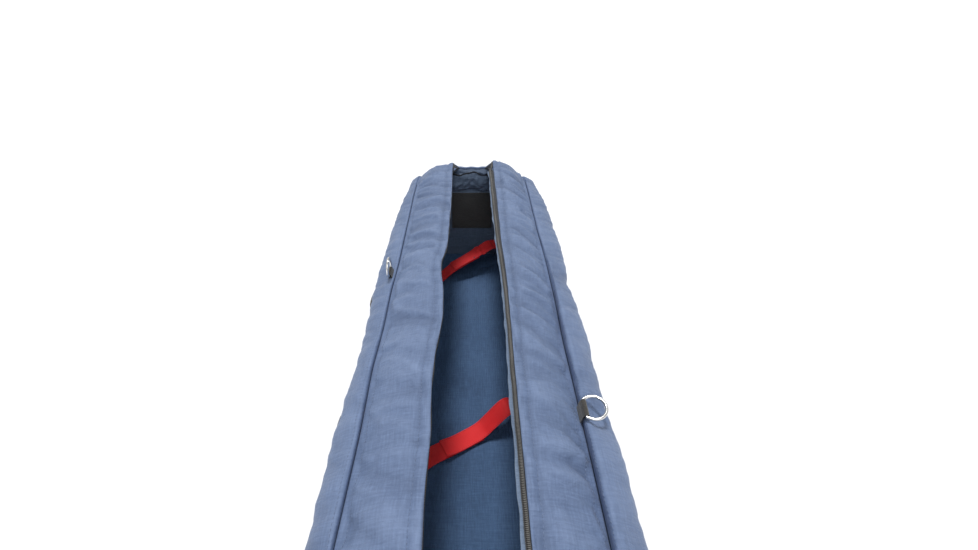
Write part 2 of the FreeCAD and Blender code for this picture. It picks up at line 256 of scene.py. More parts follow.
def walk(P, step, start=0.0):
    """Points at even steps along a polyline, with directions."""
    P = np.asarray(P, float)
    L = np.concatenate([[0], np.cumsum(np.linalg.norm(np.diff(P, axis=0), axis=1))])
    s = np.arange(start, L[-1], step)
    Q = np.stack([np.interp(s, L, P[:, k]) for k in range(3)], 1)
    Q2 = np.stack([np.interp(s + 1e-4, L, P[:, k]) for k in range(3)], 1)
    Q0 = np.stack([np.interp(s - 1e-4, L, P[:, k]) for k in range(3)], 1)
    d = Q2 - Q0
    d /= np.maximum(np.linalg.norm(d, axis=1, keepdims=True), 1e-12)
    return Q, d, s


_ST_R = np.array([0.0, 0.75, 1.0, 1.0, 0.75, 0.0])
_ST_L = np.array([-0.5, -0.42, -0.2, 0.2, 0.42, 0.5])


def stitches(name, lines, mat, pitch=0.0046, length=0.0034, r=0.00042, lift=0.0002, up=None):
    """Rows of thread, each stitch a small swollen capsule lying along the line. lines: list of (points, normals)."""
    V, F = [], []
    off = 0
    sides = 6
    a = np.arange(sides) / sides * 2 * np.pi
    for P, Nn in lines:
        Q, d, s = walk(P, pitch, pitch * 0.5)
        Nn = np.asarray(Nn, float)
        if Nn.ndim == 1:
            nn = np.broadcast_to(Nn, Q.shape)
        else:
            L = np.concatenate([[0], np.cumsum(np.linalg.norm(np.diff(np.asarray(P, float), axis=0), axis=1))])
            nn = np.stack([np.interp(s, L, Nn[:, k]) for k in range(3)], 1)
        nn = nn - d * np.sum(nn * d, 1, keepdims=True)
        nn /= np.maximum(np.linalg.norm(nn, axis=1, keepdims=True), 1e-12)
        b = np.cross(d, nn)
        for k in range(len(Q)):
            c = Q[k] + nn[k] * lift
            rings = []
            for rr, ll in zip(_ST_R, _ST_L):
                bow = -nn[k] * (abs(ll) * 2) ** 2 * r * 1.2
                p = c + d[k] * ll * length + bow
                rad = max(rr, 0.15) * r
                rings.append(p + rad * (np.cos(a)[:, None] * nn[k] + np.sin(a)[:, None] * b[k]))
            V.append(np.concatenate(rings))
            for i in range(len(_ST_R) - 1):
                for t in range(sides):
                    t2 = (t + 1) % sides
                    F.append((off + i * sides + t, off + i * sides + t2, off + (i + 1) * sides + t2, off + (i + 1) * sides + t))
            F.append(tuple(off + t for t in range(sides - 1, -1, -1)))
            F.append(tuple(off + (len(_ST_R) - 1) * sides + t for t in range(sides)))
            off += len(_ST_R) * sides
    if not V:
        return None
    V = np.concatenate(V)
    UV = V[:, :2]
    return make_mesh(name, V, F, [mat], None, UV)


# ------------------------------------------------------------------ materials


class Mat:
    def __init__(self, name):
        self.m = bpy.data.materials.new(name)
        self.m.use_nodes = True
        self.nt = self.m.node_tree
        self.nt.nodes.clear()
        self.out = self.nt.nodes.new("ShaderNodeOutputMaterial")
        self.b = self.nt.nodes.new("ShaderNodeBsdfPrincipled")
        self.link(self.b.outputs[0], self.out.inputs[0])

    def link(self, a, b):
        self.nt.links.new(a, b)

    def node(self, kind, **kw):
        n = self.nt.nodes.new(kind)
        for k, v in kw.items():
            if k == "inputs":
                for i, val in v.items():
                    if hasattr(val, "links") or hasattr(val, "is_linked"):
                        self.link(val, n.inputs[i])
                    else:
                        n.inputs[i].default_value = val
            else:
                setattr(n, k, v)
        return n

    def math(self, op, a, b=0.0, c=None):
        n = self.nt.nodes.new("ShaderNodeMath")
        n.operation = op
        for i, v in enumerate((a, b, c)):
            if v is None:
                continue
            if isinstance(v, (int, float)):
                n.inputs[i].default_value = v
            else:
                self.link(v, n.inputs[i])
        return n.outputs[0]

    def mix(self, f, a, b, kind="MIX"):
        n = self.nt.nodes.new("ShaderNodeMix")
        n.data_type = "RGBA"
        n.blend_type = kind
        n.clamp_result = False
        if isinstance(f, (int, float)):
            n.inputs[0].default_value = f
        else:
            self.link(f, n.inputs[0])
        for i, v in ((6, a), (7, b)):
            if isinstance(v, tuple):
                n.inputs[i].default_value = (*v[:3], 1)
            else:
                self.link(v, n.inputs[i])
        return n.outputs[2]

    def uv(self):
        n = self.node("ShaderNodeUVMap")
        n.uv_map = "UVMap"
        return n.outputs[0]

    def obj(self):
        return self.node("ShaderNodeTexCoord").outputs["Object"]

    def noise(self, co, scale, detail=2, rough=0.5, dist=0.0):
        return self.node("ShaderNodeTexNoise", inputs={"Vector": co, "Scale": scale, "Detail": detail, "Roughness": rough, "Distortion": dist}).outputs["Fac"]

    def scaled(self, co, s, rot=0.0):
        n = self.node("ShaderNodeMapping", inputs={"Vector": co, "Scale": s, "Rotation": (0, 0, rot)})
        return n.outputs[0]

    def ramp(self, f, stops):
        n = self.node("ShaderNodeValToRGB")
        n.color_ramp.elements[0].position, n.color_ramp.elements[0].color = stops[0][0], (*stops[0][1], 1)
        n.color_ramp.elements[1].position, n.color_ramp.elements[1].color = stops[-1][0], (*stops[-1][1], 1)
        for p, c in stops[1:-1]:
            e = n.color_ramp.elements.new(p)
            e.color = (*c, 1)
        self.link(f, n.inputs[0])
        return n.outputs[0]

    def bump(self, h, strength, dist, prev=None):
        n = self.node("ShaderNodeBump")
        n.inputs["Strength"].default_value = strength
        n.inputs["Distance"].default_value = dist
        self.link(h, n.inputs["Height"])
        if prev is not None:
            self.link(prev, n.inputs["Normal"])
        return n.outputs[0]

    def set(self, **kw):
        for k, v in kw.items():
            k = k.replace("_", " ")
            if hasattr(v, "is_linked"):
                self.link(v, self.b.inputs[k])
            else:
                self.b.inputs[k].default_value = v


def sines(M, co, pu, pv):
    """Products of two sine waves of the given periods: (sin u, sin v, their product)."""
    sep = M.node("ShaderNodeSeparateXYZ", inputs={0: co})
    su = M.math("SINE", M.math("MULTIPLY", sep.outputs[0], 2 * math.pi / pu))
    sv = M.math("SINE", M.math("MULTIPLY", sep.outputs[1], 2 * math.pi / pv))
    return su, sv, M.math("MULTIPLY", su, sv)


def nylon(name, base, light, dark, rough=0.55, pitch=0.0011, wear_and_crest_light=True, sheen=0.25, weave=0.35, crinkle=1.0, coat=0.0, rib=0.0, streak=1.25):
    """Coated woven nylon: plain weave, fine crinkles, soft colour drift, lighter on rubbed edges, painted highlight on
    fold crests and painted shade in fold valleys.
    """
    M = Mat(name)
    co = M.uv()
    # slight wander of the threads
    su, sv, w = sines(M, co, pitch, pitch)
    drift = M.noise(M.scaled(co, (7, 7, 7)), 1.0, 3, 0.55)
    blot = M.noise(M.scaled(co, (38, 21, 30)), 1.0, 4, 0.6)
    thread_u = M.noise(M.scaled(co, (900, 9, 1)), 1.0, 2, 0.6)
    thread_v = M.noise(M.scaled(co, (9, 900, 1)), 1.0, 2, 0.6)
    f = M.math("ADD", M.math("MULTIPLY", drift, 0.55), M.math("MULTIPLY", blot, 0.45))
    c = M.ramp(f, [(0.30, dark), (0.50, base), (0.72, light)])
    tmix = M.math("MULTIPLY", M.math("SUBTRACT", M.math("ADD", thread_u, thread_v), 1.0), 0.55)
    c = M.mix(M.math("ABSOLUTE", tmix), c, M.mix(M.math("GREATER_THAN", tmix, 0.0), dark, light))
    wv = M.math("MULTIPLY_ADD", w, 0.5, 0.5)
    c = M.mix(M.math("MULTIPLY", M.math("SUBTRACT", 1.0, wv), 0.22), c, tuple(x * 0.55 for x in dark))
    # bundles of threads that took the dye differently, as fine lighter and darker streaks
    sl_u = M.noise(M.scaled(co, (520, 44, 1)), 1.0, 3, 0.65)
    sl_v = M.noise(M.scaled(co, (44, 520, 1)), 1.0, 3, 0.65)
    sm = M.math("MULTIPLY", M.math("SUBTRACT", M.math("ADD", sl_u, sl_v), 1.0), streak)
    c = M.mix(M.math("ABSOLUTE", sm), c, M.mix(M.math("GREATER_THAN", sm, 0.0), tuple(x * 0.62 for x in dark), tuple(min(1, x * 1.30) for x in light)))
    # lighter from the first attribute (rubbed edges plus painted highlight on fold crests), darker from the second
    # (painted shade in fold valleys)
    if wear_and_crest_light:
        att = M.node("ShaderNodeAttribute")
        att.attribute_name = "wear_and_crest_light"
        wear_and_crest_breakup = M.noise(M.scaled(co, (160, 90, 1)), 1.0, 4, 0.65)
        k = M.math("MULTIPLY", att.outputs["Fac"], M.math("MULTIPLY", wear_and_crest_breakup, 0.85))
        c = M.mix(k, c, tuple(min(1, x * 1.25 + 0.04) for x in light))
        # painted shade in the fold valleys
        low = M.node("ShaderNodeAttribute")
        low.attribute_name = "fold_shade"
        c = M.mix(M.math("MULTIPLY", low.outputs["Fac"], 0.85), c, tuple(x * 0.66 for x in dark))
    M.set(Base_Color=c)
    r = M.math("MULTIPLY_ADD", blot, 0.18, rough - 0.09)
    M.set(Roughness=r)
    h = w
    if rib:
        sr, _, _ = sines(M, co, rib, 1.0)
        h = M.math("ADD", M.math("MULTIPLY", w, 0.4), sr)
    n1 = M.bump(h, weave, 0.00035)
    cr0 = M.noise(M.scaled(co, (190, 330, 1)), 1.0, 3, 0.6, 0.4)
    n1 = M.bump(cr0, 0.55 * crinkle, 0.0008, n1)
    cr1 = M.noise(M.scaled(co, (55, 130, 1)), 1.0, 4, 0.6, 0.6)
    n2 = M.bump(cr1, 0.75 * crinkle, 0.0020, n1)
    cr2 = M.noise(M.scaled(co, (16, 34, 1)), 1.0, 3, 0.5, 0.8)
    n3 = M.bump(cr2, 0.8 * crinkle, 0.0042, n2)
    M.set(Normal=n3)
    M.b.inputs["Sheen Weight"].default_value = sheen
    M.b.inputs["Sheen Roughness"].default_value = 0.45
    M.b.inputs["Specular IOR Level"].default_value = 0.42
    if coat:
        M.b.inputs["Coat Weight"].default_value = coat
        M.b.inputs["Coat Roughness"].default_value = 0.4
    return M.m


def webbing(name, base, light, dark, rib_p=0.0016, across=0.0030, rough=0.6, sheen=0.3, valley=0.40):
    """Ribbed webbing: ribs along its length (v), rows of weave across, darker in the valleys."""
    M = Mat(name)
    co = M.uv()
    su, sv, w = sines(M, co, rib_p, across)
    sep = M.node("ShaderNodeSeparateXYZ", inputs={0: co})
    # herringbone: the phase along the length shifts from rib to rib
    ph = M.math("MULTIPLY", sep.outputs[0], 2 * math.pi / (rib_p * 2))
    hb = M.math("SINE", M.math("ADD", M.math("MULTIPLY", sep.outputs[1], 2 * math.pi / across), M.math("MULTIPLY", M.math("SINE", ph), 2.2)))
    blot = M.noise(M.scaled(co, (60, 40, 1)), 1.0, 4, 0.6)
    c = M.ramp(blot, [(0.3, dark), (0.5, base), (0.75, light)])
    k = M.math("MULTIPLY_ADD", su, 0.5, 0.5)
    c = M.mix(M.math("MULTIPLY", M.math("SUBTRACT", 1.0, k), valley), c, tuple(x * 0.45 for x in dark))
    c = M.mix(M.math("MULTIPLY", M.math("MULTIPLY_ADD", hb, 0.5, 0.5), 0.18), c, light)
    M.set(Base_Color=c)
    M.set(Roughness=M.math("MULTIPLY_ADD", blot, 0.16, rough - 0.08))
    h = M.math("ADD", M.math("MULTIPLY", su, 1.0), M.math("MULTIPLY", hb, 0.6))
    n1 = M.bump(h, 0.5, 0.0004)
    n2 = M.bump(M.noise(M.scaled(co, (700, 500, 1)), 1.0, 2), 0.3, 0.0002, n1)
    M.set(Normal=n2)
    M.b.inputs["Sheen Weight"].default_value = sheen
    M.b.inputs["Sheen Roughness"].default_value = 0.5
    return M.m


def pile(name, base, light):
    """Hook-and-loop loop pile."""
    M = Mat(name)
    co = M.uv()
    v = M.node("ShaderNodeTexVoronoi", inputs={"Vector": co, "Scale": 900.0, "Randomness": 1.0})
    nz = M.noise(co, 260.0, 4, 0.7)
    big = M.noise(co, 30.0, 3, 0.6)
    c = M.ramp(M.math("MULTIPLY_ADD", nz, 0.6, M.math("MULTIPLY", big, 0.4)), [(0.3, tuple(x * 0.4 for x in base)), (0.5, base), (0.72, light)])
    M.set(Base_Color=c, Roughness=0.95)
    n1 = M.bump(v.outputs["Distance"], 0.8, 0.0008)
    M.set(Normal=M.bump(nz, 0.8, 0.0012, n1))
    M.b.inputs["Sheen Weight"].default_value = 0.5
    M.b.inputs["Sheen Roughness"].default_value = 0.6
    return M.m


def metal(name, base, rough, scratch=0.1, use_obj=True):
    M = Mat(name)
    co = M.obj() if use_obj else M.uv()
    nz = M.noise(co, 180.0, 4, 0.6)
    sc = M.noise(M.scaled(co, (2600, 90, 400)), 1.0, 3, 0.6)
    c = M.ramp(nz, [(0.3, tuple(x * 0.86 for x in base)), (0.6, base)])
    M.set(Base_Color=c, Metallic=1.0)
    M.set(Roughness=M.math("ADD", M.math("MULTIPLY_ADD", nz, 0.10, rough - 0.05), M.math("MULTIPLY", sc, scratch)))
    M.set(Normal=M.bump(sc, 0.12, 0.0001, M.bump(nz, 0.1, 0.0003)))
    return M.m


def plastic(name, base, rough=0.4, use_obj=True):
    M = Mat(name)
    co = M.obj() if use_obj else M.uv()
    nz = M.noise(co, 320.0, 3, 0.6)
    big = M.noise(co, 26.0, 3, 0.6)
    c = M.ramp(big, [(0.3, tuple(x * 0.75 for x in base)), (0.7, tuple(min(1, x * 1.2) for x in base))])
    M.set(Base_Color=c, Roughness=M.math("MULTIPLY_ADD", nz, 0.15, rough - 0.07))
    M.set(Normal=M.bump(nz, 0.2, 0.0002))
    return M.m


def thread(name, base):
    M = Mat(name)
    co = M.obj()
    nz = M.noise(co, 900.0, 2, 0.6)
    c = M.ramp(nz, [(0.3, tuple(x * 0.7 for x in base)), (0.7, tuple(min(1, x * 1.15) for x in base))])
    M.set(Base_Color=c, Roughness=0.6)
    M.set(Normal=M.bump(nz, 0.4, 0.0002))
    M.b.inputs["Sheen Weight"].default_value = 0.3
    return M.m


OUT = nylon("outer_nylon", (0.142, 0.203, 0.350), (0.172, 0.238, 0.395), (0.112, 0.165, 0.298), rough=0.58, sheen=0.10, crinkle=1.0)
LIN = nylon("lining_nylon", (0.155, 0.215, 0.320), (0.185, 0.252, 0.365), (0.115, 0.165, 0.258), rough=0.62, wear_and_crest_light=False, sheen=0.10, crinkle=1.1)
# a darker copy of the lining: painted shade along the notch's inner lip
LIP_SHADE = nylon("notch_lining_painted_shade", (0.062, 0.095, 0.160), (0.085, 0.125, 0.200), (0.040, 0.066, 0.118), rough=0.66, wear_and_crest_light=False, sheen=0.04, crinkle=1.2)
FLOOR_LIN = nylon("floor_lining", (0.060, 0.128, 0.262), (0.082, 0.162, 0.318), (0.040, 0.092, 0.200), rough=0.7, wear_and_crest_light=False, sheen=0.02, crinkle=0.8, rib=0.0042, weave=0.6)
RED = webbing("red_webbing", (1.0, 0.020, 0.026), (1.0, 0.034, 0.040), (0.96, 0.014, 0.020), sheen=0.12, valley=0.12)
BLACK = webbing("black_webbing", (0.022, 0.022, 0.025), (0.045, 0.045, 0.050), (0.012, 0.012, 0.014))
DARKWEB = webbing("dark_webbing", (0.032, 0.028, 0.023), (0.060, 0.052, 0.042), (0.014, 0.013, 0.011), rib_p=0.0013, across=0.0022)
PATCH = pile("loop_patch", (0.026, 0.027, 0.027), (0.055, 0.056, 0.056))
HOOK = pile("hook_patch", (0.030, 0.030, 0.033), (0.070, 0.070, 0.075))
CHROME = metal("ring_steel", (0.86, 0.85, 0.83), 0.14, 0.06)
GUN = metal("slider_metal", (0.42, 0.42, 0.43), 0.32, 0.12)
COIL = plastic("zip_coil", (0.195, 0.188, 0.178), 0.38)
NAVY = webbing("zip_tape_navy", (0.012, 0.017, 0.030), (0.020, 0.028, 0.046), (0.007, 0.010, 0.019), rib_p=0.0011, across=0.0018, rough=0.75)
TAPE = webbing("zip_tape", (0.030, 0.030, 0.032), (0.050, 0.049, 0.050), (0.018, 0.018, 0.020), rib_p=0.0011, across=0.0018, rough=0.7)
BOARD = plastic("stiffener_board", (0.05, 0.05, 0.055), 0.6)
FOAM = plastic("foam", (0.55, 0.55, 0.56), 0.9)
TH_OUT = thread("thread_blue", (0.125, 0.180, 0.310))
TH_DARK = thread("thread_dark", (0.06, 0.08, 0.13))
TH_RED = thread("thread_red", (0.62, 0.03, 0.04))
TH_BLACK = thread("thread_black", (0.03, 0.03, 0.032))

# ------------------------------------------------------------------ the case's shape, metres
Y_SIDE = {1: 0.4680, -1: 0.4520}   # where the right and left side panels meet the end panels
Y_LID = {1: 0.4640, -1: 0.4560}    # the same seam where it reaches the zip
Y_END = 0.5110           # furthest the end panels bulge
FLOOR_Z = 0.0155

# half widths, seams and lid edges along the case
W_R = (np.array([-0.51, -0.45, -0.35, -0.2, 0.0, 0.11, 0.26, 0.35, 0.42, 0.47, 0.51]), np.array([0.146, 0.155, 0.166, 0.170, 0.1705, 0.1685, 0.1700, 0.1700, 0.165, 0.156, 0.147]))
W_L = (np.array([-0.51, -0.45, -0.35, -0.2, -0.1, -0.047, 0.01, 0.057, 0.11, 0.17, 0.26, 0.35, 0.42, 0.47, 0.51]), np.array([0.138, 0.148, 0.156, 0.160, 0.1598, 0.1556, 0.1570, 0.1590, 0.1625, 0.1600, 0.1595, 0.1570, 0.151, 0.144, 0.136]))
S_R = (np.array([-0.5, -0.3, -0.15, 0.0, 0.07, 0.16, 0.25, 0.35, 0.47]), np.array([0.124, 0.129, 0.1300, 0.1300, 0.1318, 0.1312, 0.1275, 0.1272, 0.1275]))
S_L = (np.array([-0.5, -0.3, -0.156, -0.11, -0.067, 0.008, 0.085, 0.154, 0.3, 0.44, 0.48]), np.array([0.120, 0.1235, 0.1235, 0.1247, 0.1262, 0.1236, 0.1246, 0.1222, 0.1225, 0.1232, 0.1225]))
E_R = (np.array([-0.5, -0.42, -0.3, -0.17, -0.123, -0.061, 0.055, 0.093, 0.198, 0.335, 0.42, 0.4986]), np.array([0.043, 0.046, 0.0495, 0.0501, 0.0505, 0.0511, 0.0520, 0.0515, 0.0482, 0.0480, 0.0475, 0.0455]))
E_L = (np.array([-0.5, -0.4, -0.3, -0.22, -0.17, -0.147, -0.111, -0.061, -0.031, 0.0056, 0.062, 0.1026, 0.131, 0.1676, 0.2138, 0.335, 0.48]), np.array([0.040, 0.0415, 0.0395, 0.0430, 0.0413, 0.0431, 0.0449, 0.0442, 0.0410, 0.0380, 0.0402, 0.0461, 0.0467, 0.0396, 0.0387, 0.0382, 0.0410]))


def soft_interp(y, table, w=0.02):
    """Piecewise line through the table, rounded over by averaging."""
    xs, vs = table
    y = np.asarray(y, float)
    k = np.linspace(-1, 1, 9)
    wt = np.exp(-2.0 * k * k)
    return sum(wt[i] * np.interp(y + k[i] * w, xs, vs) for i in range(9)) / wt.sum()


def bulge_w(y, s):
    return soft_interp(y, W_R if s > 0 else W_L)


def seam_x(y, s):
    return soft_interp(y, S_R if s > 0 else S_L)


def edge_x(y, s):
    if s > 0:
        return soft_interp(y, E_R) - 0.0050
    return soft_interp(y, E_L, 0.012)


def seam_z(y, s):
    return 0.2348 - 0.004 * smooth(0.38, 0.47, np.abs(y)) + 0.0010 * noise(y * 9, 0 * y + s, 5)


def drop(y, s):
    """How far the lid sinks below the side panel's edge at the seam."""
    if s > 0:
        return 0.0012 + 0.0095 * smooth(0.26, 0.02, y) * (1 - 0.75 * smooth(-0.36, -0.45, y))
    return 0.0010 + 0.0022 * smooth(0.2, -0.1, y) * (1 - 0.7 * smooth(-0.36, -0.45, y))


def y_seam_end(u, s):
    """Where the lid meets the end panel, from the side seam (u=0) to the zip edge (u=1)."""
    return Y_SIDE[s] + (Y_LID[s] - Y_SIDE[s]) * smooth(0.0, 1.0, u)


# ---- side panels
NU_SIDE = 64
# FOLDS also feeds the colour: painted highlight on fold crests, painted shade in fold valleys
FOLDS = {}      # how far the last grid's folds stand up or sink in, -1 to 1


def side_grid(s, y):
    """Outer surface of a side panel at the rows y: (rows, NU_SIDE, 3), from the floor edge up to the lid seam."""
    y = np.asarray(y, float)
    y = np.concatenate([[2 * y[0] - y[1]], y, [2 * y[-1] - y[-2]], [0.15]])   # spare rows, then a row for measuring
    W, SX, SZ, DR = bulge_w(y, s), seam_x(y, s), seam_z(y, s), drop(y, s)
    W = W - 0.0018 * (gauss(y, 0.118, 0.024) + gauss(y, -0.118, 0.024))
    at_ring = gauss(y, -0.126 if s > 0 else 0.125, 0.020)
    pr = (0.0030 * smooth(0.26, 0.05, y) if s > 0 else 0.0008 + 0 * y) * (1 - at_ring)
    base = 0.1305
    T = W - 0.0035
    P = np.stack([
        np.stack([0.1165 + 0 * y, 0.0012 + 0 * y], 1),
        np.stack([0.1262 + 0 * y, 0.0042 + 0 * y], 1),
        np.stack([base + 0 * y, 0.0200 + 0 * y], 1),
        np.stack([base + (T - base) * 0.32, 0.0700 + 0 * y], 1),
        np.stack([base + (T - base) * 0.66, 0.1300 + 0 * y], 1),
        np.stack([T - 0.0010, 0.1750 + 0 * y], 1),
        np.stack([W - 0.0004, 0.1990 + 0 * y], 1),
        np.stack([W - 0.0036, 0.2165 + 0 * y], 1),
        np.stack([SX + (W - SX) * 0.52, SZ - 0.0060 + pr * 0.5 - (0.0070 if s > 0 else 0.0030) * at_ring], 1),
        np.stack([SX + 0.0030, SZ + 0.0000 + pr - (0.0044 if s > 0 else 0.0014) * at_ring], 1),
        np.stack([SX + 0.0003, SZ - 0.0027 - DR * 0.80], 1),
    ], 1)
    k = P.shape[1]
    t = np.interp(np.linspace(0, 1, NU_SIDE), [0, 0.08, 0.5, 0.72, 1.0], [0, 1.6, 5.2, 7.0, k - 1])
    C = cr(P, t)
    G = np.stack([C[..., 0], np.broadcast_to(y[:, None], C.shape[:2]), C[..., 1]], 2)
    n = grid_normals(G)
    n *= 1.0 if n[..., 0].mean() > 0 else -1.0
    u = np.cumsum(np.concatenate([[0], np.linalg.norm(np.diff(C[-1], axis=0), axis=1)]))
    U, Y = np.meshgrid(u, y)
    ut = u[-1]
    fade = smooth(0, 0.03, U) * smooth(ut, ut - 0.012, U)
    endf = 1 - 0.7 * smooth(0.42, Y_SIDE[s], np.abs(Y))
    sd = 11 if s > 0 else 37
    d = 0.0032 * noise(U * 9, Y * 6.5, sd) + 0.0015 * noise(U * 16, Y * 21, sd + 1)
    d = d + 0.0011 * noise(U * 20, Y * 46, sd + 2) * smooth(0.05, 0.16, U)
    # cross ripples over the rolled top, pulled in towards the seam
    top = smooth(ut - 0.085, ut - 0.035, U)
    d = d + top * (0.0011 * noise(U * 14, Y * 52, sd + 3) + (0.0010 + 0.0007 * smooth(0.10, 0.35, Y)) * noise(U * 9, Y * 95 + U * 30, sd + 4))
    d = d - 0.0022 * ridge(U * 6 + 3, Y * 5, sd + 5) * smooth(0.02, 0.08, U) * (1 - top)
    d = d - 0.0016 * ridge(U * 9 + 1, Y * 12 + U * 20, sd + 8) * (1 - top * 0.5)
    d = d * (1 - 0.85 * at_ring[:, None] * smooth(ut - 0.052, ut - 0.034, U))
    G = G + n * (d * fade * endf)[..., None]
    FOLDS["side"] = np.clip((d * fade * endf)[1:-2] / 0.0034, -1, 1)
    # soft dent where the bottom sits on the ground
    G[..., 2] = np.maximum(G[..., 2], 0.0004)
    G[..., 0] *= s
    return G[1:-2], U[1:-2], ut


def side_wear_and_fold_light(U, ut, Y, s):
    w = 0.55 * gauss(U, ut - 0.006, 0.004) + 0.32 * gauss(U, ut - 0.065, 0.018) + 0.35 * gauss(U, 0.012, 0.010)
    # lighter on the rubbed seam edge, shoulder and foot; the FOLDS term adds painted highlight on fold crests and
    # painted shade in fold valleys
    return w * (0.6 + 0.6 * noise(U * 30, Y * 14, 71)) + 0.46 * FOLDS["side"]


def attach_end(ob, side, end):
    """For fabric fixed at the end panel: bakes the object's transform into its mesh; it is not attached to any part."""
    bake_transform(ob)


def attach_mid(ob, side, end):
    """For fabric of the side towards the end and of the lid further in: bakes the object's transform into its mesh; it
    is not attached to any part.
    """
    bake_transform(ob)


SIDES = (("right", 1), ("left", -1))
ENDS = (("far", 1), ("near", -1))
END_BOUND = {}

for side, s in SIDES:
    for end, k in ENDS:
        y = k * np.linspace(0, 1, 124) * Y_SIDE[s]
        G, U, ut = side_grid(s, y)
        END_BOUND[(side, end, "side")] = G[-1].copy()
        Ym = np.broadcast_to(y[:, None], U.shape)
        th = 0.0022 + 0.0095 * smooth(0.0, 0.018, U) * smooth(ut, ut - 0.020, U) * (1 - 0.8 * smooth(Y_SIDE[s] - 0.02, Y_SIDE[s], np.abs(Ym)))
        iw = (0.0016 * noise(U * 14, Ym * 17, 91) + 0.0010 * noise(U * 30, Ym * 40, 92)) * smooth(0.0, 0.03, U) * smooth(ut, ut - 0.03, U) * (1 - smooth(0.42, Y_SIDE[s], np.abs(Ym)))
        flip = (s * k) > 0
        ob = shell("side_%s_%s" % (side, end), G, th, [OUT, LIN], flip=flip, wear_and_crest_light=side_wear_and_fold_light(U, ut, Ym, s), inner_wr=iw, vabs=True)
        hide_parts(side + "_side_skin", side + "_side_foam", side + "_side_lining", "corner_%s_%s_skin" % (end, side), "corner_%s_%s_lining" % (end, side))
        attach_end(ob, side, end)
        # one row of topstitching on the rolled strip, beside the seam
        n = grid_normals(G) * (-1 if flip else 1)
        j = int(np.argmin(np.abs(U[0] - (ut - 0.0085))))
        rows = slice(0, len(y) - 2)
        st = stitches("side_stitch_%s_%s" % (side, end), [(G[rows, j], n[rows, j])], TH_OUT)
        attach_end(st, side, end)

# ---- lid flaps
NU_LID = 44


